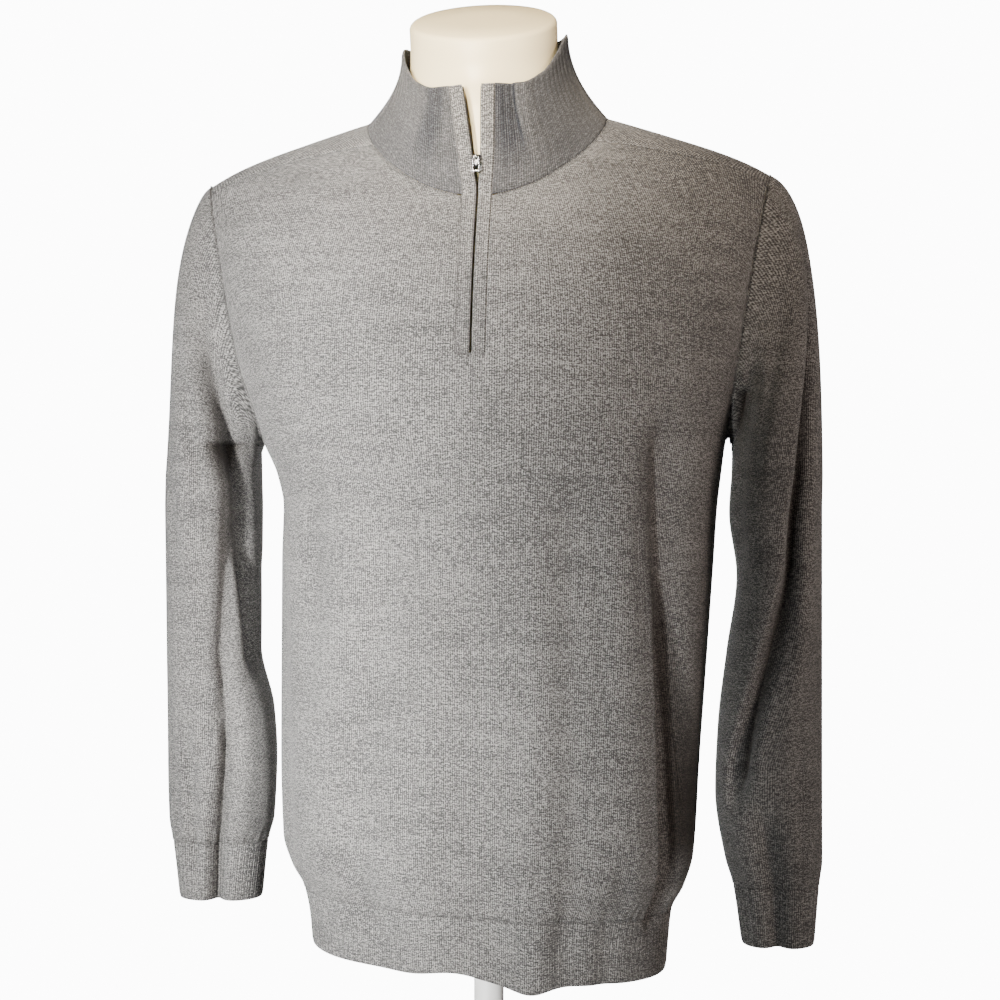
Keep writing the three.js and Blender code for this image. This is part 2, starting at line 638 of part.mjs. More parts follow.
// A wall whose outside is raised in upright ribs over a plain inside. The inside has one column to a span, the
// outside has two to a rib, and fans join them at the upper and lower rims.
function ribbedWall({ spans, ribsPerSpan, raise, rows, point }) {
  const per = 2 * ribsPerSpan;
  const across = spans * per;
  const points = [];
  const facing = (place, row) => {
    const step = 1e-5;
    const right = point(place + step, row).sub(point(place - step, row));
    const up = point(place, row + 1e-3).sub(point(place, row - 1e-3));
    return right.cross(up).normalize();
  };
  for (const row of rows) {
    for (let i = 0; i <= across; i += 1) {
      const place = i / across;
      const height = i % 2 === 1 ? raise : 0;
      points.push(point(place, row).addScaledVector(facing(place, row), height));
    }
  }
  const inside = points.length;
  for (const row of rows) {
    for (let i = 0; i <= spans; i += 1) {
      points.push(point(i / spans, row).addScaledVector(facing(i / spans, row), -WALL));
    }
  }
  const triangles = [];
  const quad = (a, b, c, d) => triangles.push(a, b, c, a, c, d);
  const outer = (i, j) => i + j * (across + 1);
  const inner = (i, j) => inside + i + j * (spans + 1);
  const last = rows.length - 1;
  for (let j = 0; j < last; j += 1) {
    for (let i = 0; i < across; i += 1) {
      quad(outer(i, j), outer(i + 1, j), outer(i + 1, j + 1), outer(i, j + 1));
    }
    for (let i = 0; i < spans; i += 1) {
      quad(inner(i, j), inner(i, j + 1), inner(i + 1, j + 1), inner(i + 1, j));
    }
    quad(inner(0, j), outer(0, j), outer(0, j + 1), inner(0, j + 1));
    quad(outer(across, j), inner(spans, j), inner(spans, j + 1), outer(across, j + 1));
  }
  for (let i = 0; i < spans; i += 1) {
    for (let k = 0; k < per; k += 1) {
      const place = i * per + k;
      const nearest = inner(k < per / 2 ? i : i + 1, 0);
      triangles.push(outer(place + 1, 0), outer(place, 0), nearest);
      const above = inner(k < per / 2 ? i : i + 1, last);
      triangles.push(outer(place, last), outer(place + 1, last), above);
    }
    const middle = i * per + per / 2;
    triangles.push(outer(middle, 0), inner(i, 0), inner(i + 1, 0));
    triangles.push(outer(middle, last), inner(i + 1, last), inner(i, last));
  }
  const geometry = new THREE.BufferGeometry().setFromPoints(points);
  geometry.setIndex(triangles);
  return geometry;
}

// A point on the zip opening's run up the front: on the front panel first, then on the collar.
const ZIP_HEIGHT = { foot: yokePoint(0, -0.872).z, neck: collarPoint(0, 0).z, top: collarPoint(0, 1).z };
function frontPoint(x, z, out) {
  let here;
  if (z < ZIP_HEIGHT.neck) {
    let low = 0;
    let high = 1;
    for (let step = 0; step < 30; step += 1) {
      const middle = (low + high) / 2;
      if (yokeSection(x, -middle).z > z) low = middle;
      else high = middle;
    }
    here = yokePoint(x, -low);
  } else {
    const share = collarShareAt(z);
    here = collarPoint(angleAtX(x, share), share);
  }
  here.y -= out;
  return here;
}

// A strip that runs up the zip opening between two distances from its edge, moved out from the cloth.
function zipStrip(name, { from, to, out, wall, short }) {
  const arm = ARM[name];
  const point = (across, z) =>
    frontPoint(arm.side * (openingEdge[name](z) + mix(from, to, across)), z, 0);
  const columns = arm.side > 0 ? [0, 0.5, 1] : [1, 0.5, 0];
  const bottom = ZIP_HEIGHT.foot + 1.2 + short;
  const heights = COLLAR_ROWS.slice(1).map((share) => collarPoint(0, share).z);
  heights[heights.length - 1] -= 0.4 + short;
  const rows = [...steps(bottom, ZIP_HEIGHT.neck, 8), ...heights];
  return clothWall({ columns, rows, wall, out, point });
}

const BAND = { from: 0, to: PLACKET - 0.6 - SEAM, out: 0.5, wall: WALL, short: 0 };
const TAPE = { from: -0.42, to: 9, out: BAND.out - WALL - 0.6, wall: 0.8, short: 1.5 };

// The slider stands in front of the bands, with a bail that the pull's top bar passes through.
const SLIDER = { width: 7.6, depth: 3, height: 9.6, z: 880, bailWidth: 2.4, bailOut: 4, eye: 1.15 };
const PULL = { width: 6.4, length: 12, bar: 1.2, thickness: 1.1 };
const sliderFront = () => frontPoint(0, SLIDER.z, 0).y - BAND.out - SLIDER.depth - 0.95;
const pivot = () => new THREE.Vector3(0, sliderFront() - SLIDER.bailOut / 2, SLIDER.z + 2.4);

const manifold = await Module();
manifold.setup();

// Several closed geometries joined into one solid.
function joined(geometries) {
  const solids = geometries.map((geometry) => {
    const place = geometry.getAttribute("position");
    const bare = new THREE.BufferGeometry().setAttribute("position", place);
    if (geometry.index) bare.setIndex(geometry.index);
    const merged = mergeVertices(bare.index ? bare.toNonIndexed() : bare, 1e-4);
    const vertProperties = new Float32Array(merged.getAttribute("position").array);
    const triVerts = new Uint32Array(merged.index.array);
    return new manifold.Manifold(new manifold.Mesh({ numProp: 3, vertProperties, triVerts }));
  });
  const mesh = manifold.Manifold.union(solids).getMesh();
  const geometry = new THREE.BufferGeometry();
  geometry.setAttribute("position", new THREE.BufferAttribute(mesh.vertProperties, 3));
  return geometry.setIndex(new THREE.BufferAttribute(mesh.triVerts, 1));
}

// An outline in the YZ plane, extruded along X about the middle.
function extrudeAcross(shape, width) {
  const geometry = new THREE.ExtrudeGeometry(shape, {
    depth: width,
    bevelEnabled: false,
    curveSegments: 8,
  });
  geometry.translate(0, 0, -width / 2);
  return geometry.applyMatrix4(
    new THREE.Matrix4().makeBasis(
      new THREE.Vector3(0, 1, 0),
      new THREE.Vector3(0, 0, 1),
      new THREE.Vector3(1, 0, 0),
    ),
  );
}

// A closed profile in the YZ plane: the slider's flat body with the arch of the bail in front.
function sliderBody() {
  const front = sliderFront();
  const eye = pivot();
  const low = SLIDER.z - SLIDER.height / 2;
  const high = SLIDER.z + SLIDER.height / 2;
  const body = new THREE.Shape();
  body.moveTo(front, low);
  body.lineTo(front + SLIDER.depth, low);
  body.lineTo(front + SLIDER.depth, high);
  body.lineTo(front, high);
  body.closePath();
  const bail = new THREE.Shape();
  bail.moveTo(front + 0.6, eye.z - 2.3);
  bail.lineTo(front + 0.6, eye.z + 2.3);
  bail.lineTo(front - 0.6, eye.z + 2.3);
  bail.absarc(eye.y, eye.z, 2.1, Math.PI / 2, (3 * Math.PI) / 2, false);
  bail.lineTo(front - 0.6, eye.z - 2.3);
  bail.closePath();
  const hole = new THREE.Path();
  hole.absarc(eye.y, eye.z, SLIDER.eye, 0, 2 * Math.PI, true);
  bail.holes.push(hole);
  return joined([extrudeAcross(body, SLIDER.width), extrudeAcross(bail, SLIDER.bailWidth)]);
}

// The pull: a small flat frame that hangs from the bail by its top bar.
function pullFrame() {
  const { width, length, bar, thickness } = PULL;
  const rectangle = (Path, half, high, low) => {
    const path = new Path();
    path.moveTo(-half, low);
    path.lineTo(half, low);
    path.lineTo(half, high);
    path.lineTo(-half, high);
    path.closePath();
    return path;
  };
  const outline = rectangle(THREE.Shape, width / 2, bar / 2, bar / 2 - length);
  outline.holes.push(rectangle(THREE.Path, width / 2 - bar, -bar / 2, bar / 2 + 2.2 - length));
  const frame = new THREE.ExtrudeGeometry(outline, { depth: thickness, bevelEnabled: false });
  frame.translate(0, 0, -thickness / 2);
  return frame.rotateX(Math.PI / 2);
}

// The torso form inside the sweater. Each ring is level. Under the yoke it keeps a small, even distance from
// the cloth, and the neck grows out of its upper rings.
const FORM = [
  { z: 330, half: 132, front: 92, back: 88 },
  { z: 400, half: 138, front: 96, back: 88 },
  { z: 480, half: 137, front: 95, back: 84 },
  { z: 560, half: 142, front: 98, back: 88 },
  { z: 620, half: 148, front: 103, back: 94 },
  { z: 669, half: 154, front: 107, back: 97 },
];
const FORM_SIDE = [
  { z: 669, half: 154 },
  { z: 700, half: 163 },
  { z: 740, half: 178 },
  { z: 780, half: 190 },
  { z: 820, half: 201 },
  { z: 850, half: 208 },
  { z: 866, half: 211 },
  { z: 878, half: 210 },
  { z: 887, half: 205 },
  { z: 897, half: 180 },
  { z: 905, half: 147 },
  { z: 911, half: 114 },
  { z: 915, half: 92 },
  { z: 925, half: 76 },
];
const FORM_NECK = [
  { z: 840, middle: -20, half: 40, depth: 48 },
  { z: 880, middle: -12, half: 60, depth: 58 },
  { z: 934, middle: -17, half: 61, depth: 58 },
];
const FORM_CLEARANCE = 3; // from the outside of the cloth down to the form, on the ridge
const FORM_EASE = [
  { z: 669, ease: 24 },
  { z: 740, ease: 14 },
  { z: 800, ease: 7.5 },
  { z: 940, ease: 6.5 },
]; // the form is this much smaller than the cloth to front and back
const formEase = curve(FORM_EASE, "z", "ease");
const NECK_RINGS = [
  { z: 945, middle: -21, half: 64, depth: 58, tilt: 6 },
  { z: 962, middle: -28, half: 60, depth: 57, tilt: 16 },
  { z: 980, middle: -34, half: 58.5, depth: 57, tilt: 23 },
  { z: 995, middle: -40, half: 58.5, depth: 57, tilt: 27 },
  { z: 998.6, middle: -41.4, half: 55, depth: 53.5, tilt: 27 },
];

// How far the form reaches to front or back at one x and height.
function formReach(x, z, front) {
  const half = curve(FORM_SIDE, "z", "half")(z);
  const end = (1 - Math.min(1, (Math.abs(x) / half) ** 5)) ** (1 / 5);
  const height = ridge(Math.abs(x)) - FORM_CLEARANCE - UNDERARM;
  const climb = clamp((z - UNDERARM) / height, 0, 1);
  const { rise, shelf } = front ? TURN.front : TURN.back;
  let low = 0;
  let high = 1;
  for (let step = 0; step < 30; step += 1) {
    const t = (low + high) / 2;
    if (3 * (1 - t) ** 2 * t * rise + 3 * (1 - t) * t * t + t ** 3 < climb) low = t;
    else high = t;
  }
  const t = low;
  const out = (1 - t) ** 3 + 3 * (1 - t) ** 2 * t + 3 * (1 - t) * t * t * shelf;
  const halfWidth = Math.min(torso.right(z), torso.left(z)) - FORM_CLEARANCE;
  const share = Math.min(1, Math.abs(x) / halfWidth);
  const reach = (front ? torso.front(z) : torso.back(z)) * (1 - share ** SQUARENESS) ** (1 / SQUARENESS);
  const body = Math.max(0, reach * out - formEase(z) * Math.min(1, 2.2 * out)) * end;
  if (z < FORM_NECK[0].z) return body;
  const half2 = curve(FORM_NECK, "z", "half")(z);
  const depth = curve(FORM_NECK, "z", "depth")(z);
  const middle = curve(FORM_NECK, "z", "middle")(z) * (front ? -1 : 1);
  const inside = 1 - (x / half2) ** 2;
  const neck = inside > 0 ? middle + depth * Math.sqrt(inside) : 0;
  return Math.max(body, neck) + 2 * Math.log(1 + Math.exp(-Math.abs(body - neck) / 2)) - 1.4;
}

function torsoForm() {
  const around = 32;
  const points = [];
  const addRing = (make) => {
    for (let i = 0; i < around; i += 1) points.push(make((i * 2 * Math.PI) / around));
  };
  const lower = ["half", "front", "back"].map((column) => curve(FORM, "z", column));
  for (const z of [330, 338, 380, 430, 480, 530, 580, 625]) {
    const rounding = z === FORM_FOOT ? 0.93 : 1;
    const [half, front, back] = lower.map((reach) => reach(z) * rounding);
    addRing((a) => {
      const y = -signedPower(Math.cos(a), 0.93);
      return new THREE.Vector3(
        half * signedPower(Math.sin(a), 0.93),
        y * (y < 0 ? front : back),
        z,
      );
    });
  }
  const sides = curve(FORM_SIDE, "z", "half");
  for (const z of [669, 700, 740, 780, 820, 850, 866, 878, 887, 897, 905, 911, 915, 925]) {
    addRing((a) => {
      const x = sides(z) * Math.sin(a) * 0.999;
      const front = Math.cos(a) > 0;
      return new THREE.Vector3(x, (front ? -1 : 1) * formReach(x, z, front), z);
    });
  }
  for (const { z, middle, half, depth, tilt } of NECK_RINGS) {
    addRing((a) => {
      const y = -depth * Math.cos(a);
      return new THREE.Vector3(
        half * Math.sin(a),
        middle + y * Math.cos(tilt * DEGREE),
        z + y * Math.sin(tilt * DEGREE),
      );
    });
  }
  const rings = points.length / around;
  const foot = points.push(new THREE.Vector3(0, 0, FORM_FOOT)) - 1;
  const last = NECK_RINGS[NECK_RINGS.length - 1];
  const cap = points.push(new THREE.Vector3(0, last.middle, last.z)) - 1;
  const triangles = [];
  for (let i = 0; i < around; i += 1) {
    const next = (i + 1) % around;
    triangles.push(foot, next, i);
    for (let j = 0; j + 1 < rings; j += 1) {
      const [a, b] = [i + j * around, next + j * around];
      triangles.push(a, b, b + around, a, b + around, a + around);
    }
    const top = (rings - 1) * around;
    triangles.push(cap, top + i, top + next);
  }
  const geometry = new THREE.BufferGeometry().setFromPoints(points);
  geometry.setIndex(triangles);
  return geometry;
}

// Stand: a straight tube, and a round plate with an eased edge.
function standPole() {
  const bottom = BASE.thickness + SEAM;
  const length = FORM_FOOT - SEAM - bottom;
  const pole = new THREE.CylinderGeometry(POLE.radius, POLE.radius, length, POLE.sides);
  return pole.rotateX(Math.PI / 2).translate(0, 0, bottom + length / 2);
}

function standBase() {
  const edge = 2.5;
  const profile = [
    [0, 0],
    [BASE.radius, 0],
    [BASE.radius, BASE.thickness - edge],
    [BASE.radius - edge, BASE.thickness],
    [0, BASE.thickness],
  ];
  const points = profile.map(([radius, height]) => new THREE.Vector2(radius, height));
  return new THREE.LatheGeometry(points, 48).rotateX(Math.PI / 2);
}

const knit = () => new THREE.MeshStandardMaterial({ color: 0x85837f, roughness: 0.95 });
const metal = () => new THREE.MeshStandardMaterial({ color: 0x9a9a9c, roughness: 0.3, metalness: 1 });
const tape = () => new THREE.MeshStandardMaterial({ color: 0x2e2c2b, roughness: 0.8 });
const shell = () => new THREE.MeshStandardMaterial({ color: 0xf0e6d6, roughness: 0.45 });
const steel = () => new THREE.MeshStandardMaterial({ color: 0xe8e8e6, roughness: 0.4, metalness: 0.2 });

const sweaterOnForm = new THREE.Group();
const add = (name, geometry, material, parent = sweaterOnForm) => {
  const mesh = new THREE.Mesh(geometry, material);
  mesh.name = name;
  parent.add(mesh);
  return mesh;
};

add("front_panel", frontPanel(), knit());
add("back_panel", backPanel(), knit());
add("waistband_front", waistband(FRONT), knit());
add("waistband_back", waistband(BACK), knit());
for (const name of ["right", "left"]) {
  add(`sleeve_${name}`, sleeve(name), knit());
  add(`cuff_${name}`, cuff(name), knit());
  add(`placket_${name}`, zipStrip(name, BAND), knit());
  add(`zip_tape_${name}`, zipStrip(name, TAPE), tape());
}
add("collar", collar(), knit());
add("zip_slider", sliderBody(), metal());
const pull = add("zip_pull", pullFrame(), metal());
pull.position.copy(pivot());
add("torso_form", torsoForm(), shell());
add("stand_pole", standPole(), steel());
add("stand_base", standBase(), steel());

// The frame's origin lies under the middle of the whole, whose sleeves reach the same way out on both sides.
const reach = new THREE.Box3().setFromObject(sweaterOnForm);
sweaterOnForm.position.x = -(reach.min.x + reach.max.x) / 2;
sweaterOnForm.position.y = -(reach.min.y + reach.max.y) / 2;

export default sweaterOnForm;
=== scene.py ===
"""Dresses the quarter zip sweater and the torso form that wears it.

Shapes are worked out in millimetres as whole grids of points and put into the meshes in metres. The zip faces
-Y and the wearer's left is towards +X.
"""

from __future__ import annotations

import logging
import math
from dataclasses import dataclass, field
from enum import Enum
from typing import Callable

import bpy
import numpy as np
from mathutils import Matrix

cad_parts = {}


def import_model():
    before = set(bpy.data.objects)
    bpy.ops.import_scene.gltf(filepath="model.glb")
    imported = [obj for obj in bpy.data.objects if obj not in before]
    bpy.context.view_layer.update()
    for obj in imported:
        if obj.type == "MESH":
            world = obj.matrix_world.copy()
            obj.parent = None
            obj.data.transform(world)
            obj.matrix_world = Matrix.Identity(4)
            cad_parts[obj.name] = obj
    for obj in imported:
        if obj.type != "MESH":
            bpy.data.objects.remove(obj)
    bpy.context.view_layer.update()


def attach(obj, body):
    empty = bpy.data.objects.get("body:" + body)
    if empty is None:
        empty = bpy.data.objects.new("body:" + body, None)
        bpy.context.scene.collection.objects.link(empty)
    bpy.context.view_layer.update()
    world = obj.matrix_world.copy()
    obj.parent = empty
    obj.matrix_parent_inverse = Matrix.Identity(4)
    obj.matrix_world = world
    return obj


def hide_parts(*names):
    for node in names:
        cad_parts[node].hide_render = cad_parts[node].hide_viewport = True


Array = np.ndarray
log = logging.getLogger("sweater")

MM = 0.001
MODEL_SHIFT = np.array([-2.4776, 0.0, 0.0])  # brings the middle of the plan outline to the origin
SEAM = 0.3
SQUARENESS = 2.3
RIB_PITCH = 2.6
FOLD_FADE = 46.0  # a fold fades out over this height at each end
SMALL_FOLD_FADE = 22.0
NECK_FULL_WIDTH = 17  # the neck is fuller in front within about this distance from the middle


class Side(Enum):
    """The wearer's two sides, with the direction of each along X."""

    RIGHT = -1
    LEFT = 1


class Held(Enum):
    """How a piece of cloth is held in its pose."""

    DRAPED = "draped"
    HUNG = "hung"
    STRETCHED = "stretched"


@dataclass(frozen=True)
class Curve:
    """A smooth curve through a short table, which never overshoots between two rows."""

    at: tuple[float, ...]
    value: tuple[float, ...]

    def __call__(self, place: Array | float) -> Array:
        """Cubic pieces whose slopes are the harmonic means of the neighbouring rises.

        Args:
            place: where to read the curve.

        Returns:
            The values there.
        """
        at = np.asarray(self.at, float)
        value = np.asarray(self.value, float)
        rise = np.diff(value) / np.diff(at)
        both = rise[:-1] * rise[1:]
        total = rise[:-1] + rise[1:]
        middle = np.where(both > 0, 2 * both / np.where(total == 0, 1, total), 0.0)
        slope = np.concatenate([rise[:1], middle, rise[-1:]])
        place = np.asarray(place, float)
        i = np.clip(np.searchsorted(at, place, "right") - 1, 0, len(at) - 2)
        width = at[i + 1] - at[i]
        t = clip01((place - at[i]) / width)
        return (
            value[i] * (1 + 2 * t) * (1 - t) ** 2
            + value[i + 1] * t * t * (3 - 2 * t)
            + t * (1 - t) ** 2 * width * slope[i]
            + t * t * (t - 1) * width * slope[i + 1]
        )


@dataclass(frozen=True)
class Fold:
    """A hanging fold: a trough that runs from one height and angle to another."""

    from_z: float
    to_z: float
    start: float
    end: float
    depth: float
    width: float
    bends: Curve | None = None
    before: float = 1.0
    after: float = 1.0

    def place(self, z: Array) -> Array:
        """The angle at which the fold lies at heights z: straight, or along its bends."""
        if self.bends is not None:
            return self.bends(z)
        along = clip01((self.from_z - z) / (self.from_z - self.to_z))
        return self.start + (self.end - self.start) * along

    def press(self, angle: Array, z: Array, fade: float = FOLD_FADE) -> Array:
        """A bell curve across the fold, with a width of its own on each side, eased in and out along it.

        Args:
            angle: angles round the piece, in degrees.
            z: heights.
            fade: the height over which each end fades out.

        Returns:
            How far the fold moves the cloth in.
        """
        away = wrapped(angle - self.place(z))
        shown = clip01(np.minimum(self.from_z - z, z - self.to_z) / fade + 1)
        width = self.width * np.where(away < 0, self.before, self.after)
        return self.depth * eased(shown) * bell(away, width)


@dataclass(frozen=True)
class Crease:
    """A soft line pressed into the cloth along a path seen from the front or from behind."""

    path: tuple[tuple[float, float], ...]
    depth: float
    width: float

    def press(self, x: Array, z: Array) -> Array:
        """A bell curve of the distance to the path, which fades towards the path's ends.

        Args:
            x: distances from the middle.
            z: heights.

        Returns:
            How far the crease moves the cloth in.
        """
        points = np.array(self.path)
        lengths = np.hypot(*np.diff(points, axis=0).T)
        total = lengths.sum()
        nearest = np.full(x.shape, 1e9)
        along = np.zeros(x.shape)
        for k, (a, b) in enumerate(zip(points[:-1], points[1:])):
            run = b - a
            t = clip01(((x - a[0]) * run[0] + (z - a[1]) * run[1]) / (run @ run))
            gap = np.hypot(x - a[0] - t * run[0], z - a[1] - t * run[1])
            closer = gap < nearest
            nearest = np.where(closer, gap, nearest)
            along = np.where(closer, (lengths[:k].sum() + t * lengths[k]) / total, along)
        shown = np.sin(np.pi * np.clip(along, 0.02, 0.98)) ** 0.7
        return self.depth * shown * bell(nearest, self.width)


@dataclass(frozen=True)
class Ledge:
    """A nearly upright line where the cloth drops away sharply on one side and comes back slowly."""

    line: Curve
    depth: float
    edge: float
    back: float

    def press(self, x: Array, z: Array) -> Array:
        """A smooth step over the edge, times a slow fall, faded at the line's ends.

        Args:
            x: distances from the middle.
            z: heights.

        Returns:
            How far the ledge moves the cloth in.
        """
        away = x - self.line(z)
        step = 1 / (1 + np.exp(-np.clip(away / self.edge * 4, -40, 40)))
        low, high = self.line.at[0], self.line.at[-1]
        shown = clip01(np.minimum((z - low) / 60, (high - z) / 130))
        return self.depth * eased(shown) * step * np.exp(-np.maximum(away, 0) / self.back)

    def shade(self, x: Array, z: Array) -> Array:
        """The painted shadow beside the edge: wide and full low down, narrow and weaker high up.

        Args:
            x: distances from the middle.
            z: heights.

        Returns:
            How dark each point is, from 0 to 1.
        """
        low, high = self.line.at[0], self.line.at[-1]
        high_up = clip01((z - 390) / 180)
        away = x - self.line(z) + mix(11, 3, high_up)
        shown = clip01(np.minimum((z - low + 40) / 40, (high - z) / 170))
        beside = np.where(away < 0, (away / 2.5) ** 2, (away / mix(38, 3, high_up)) ** 4)
        return mix(1, 0.52, high_up) * shown * np.exp(-beside)


@dataclass(frozen=True)
class Dent:
    """A dent under an overhanging edge, on one side of a sleeve, which the sleeve also darkens with painted
    shade.
    """

    top: float
    low: float
    angle: float
    spread: float
    depth: float

    def press(self, angle: Array, z: Array) -> Array:
        """A sharp start at the top that dies away downwards, times a bell curve round the sleeve."""
        start = clip01((self.top - z) / 3)
        fall = clip01((z - self.low) / (self.top - self.low))
        return self.depth * eased(start) * fall**1.5 * bell(wrapped(angle - self.angle), self.spread)


def mix(a: Array | float, b: Array | float, share: Array | float) -> Array | float:
    """Goes from a to b by a share."""
    return a + (b - a) * share


def circle(count: int) -> Array:
    """Angles of points spread evenly round a circle."""
    return np.arange(count) * 2 * np.pi / count


def eased(share: Array) -> Array:
    """A smooth step: three times the square less twice the cube."""
    return share * share * (3 - 2 * share)


def bell(away: Array, width: Array | float) -> Array:
    """A bell curve of the distance from its middle."""
    return np.exp(-((away / width) ** 2))


def clip01(value: Array | float) -> Array:
    """Keeps a share between 0 and 1."""
    return np.clip(value, 0, 1)


def wrapped(degrees: Array) -> Array:
    """Brings angles between -180 and 180 degrees."""
    return (degrees + 540) % 360 - 180


def unit(vectors: Array) -> Array:
    """Scales vectors to a length of one."""
    return vectors / np.maximum(np.linalg.norm(vectors, axis=-1, keepdims=True), 1e-9)


def run_along(path: Array) -> Array:
    """The length of a path from its start to each of its points."""
    return np.concatenate([[0], np.cumsum(np.linalg.norm(np.diff(path, axis=0), axis=1))])


def shoulder_section(t: Array, front: Array) -> tuple[Array, Array]:
    """The cubic curve of a section from the underarm level, at 0, to the ridge, at 1.

    Args:
        t: places on the curve.
        front: where the section is in front of the ridge.

    Returns:
        The share of the height, and the share of the reach to front or back.
    """
    rise = np.where(front, 0.65, 0.8)
    shelf = np.where(front, 0.25, 0.45)
    up = 3 * (1 - t) ** 2 * t * rise + 3 * (1 - t) * t * t + t**3
    out = (1 - t) ** 3 + 3 * (1 - t) ** 2 * t + 3 * (1 - t) * t * t * shelf
    return up, out


def aside(distance: Array, half: Array | float) -> Array:
    """The angle from the centre, in degrees, of a point on a plan section of a given half width."""
    return np.degrees(np.arcsin((distance / half) ** (SQUARENESS / 2)))


def ribbed(points: Array, closed: bool, height: float) -> Array:
    """Upright ribs on a strip whose lower and upper edges are rounded off.

    Args:
        points: the strip's grid.
        closed: whether its last column joins the first.
        height: half the ribs' height.

    Returns:
        How far each point is raised.
    """
    run = Shells.cloth_places(points, closed)[:, : points.shape[1], 0] * 100
    share = np.linspace(0, 1, len(points))[:, None]
    round_edge = -0.5 * clip01(1 - share / 0.08) - 0.45 * clip01((share - 0.92) / 0.08)
    return height * np.cos(2 * np.pi * run / RIB_PITCH) + round_edge


def signed_power(value: Array, power: float) -> Array:
    """Raises the size of each value to a power and keeps its sign."""
    return np.sign(value) * np.abs(value) ** power


def bisect(low: float, high: float, shape: tuple[int, ...], above: Callable[[Array], Array]) -> Array:
    """Finds by halving, at each place of a grid, where a test turns true.

    Args:
        low: lower end of the search.
        high: upper end of the search.
        shape: shape of the grid.
        above: says for a grid of tries where the answer lies above the try.

    Returns:
        The turning points.
    """
    lows = np.full(shape, low, float)
    highs = np.full(shape, high, float)
    for _ in range(34):
        middle = (lows + highs) / 2
        up = above(middle)
        lows = np.where(up, middle, lows)
        highs = np.where(up, highs, middle)
    return lows


def cubic(first: Array, leave: Array, arrive: Array, last: Array, t: Array) -> Array:
    """A cubic curve from four control points, at shares t."""
    t = t[..., None]
    return (
        first * (1 - t) ** 3
        + leave * 3 * (1 - t) ** 2 * t
        + arrive * 3 * (1 - t) * t * t
        + last * t**3
    )


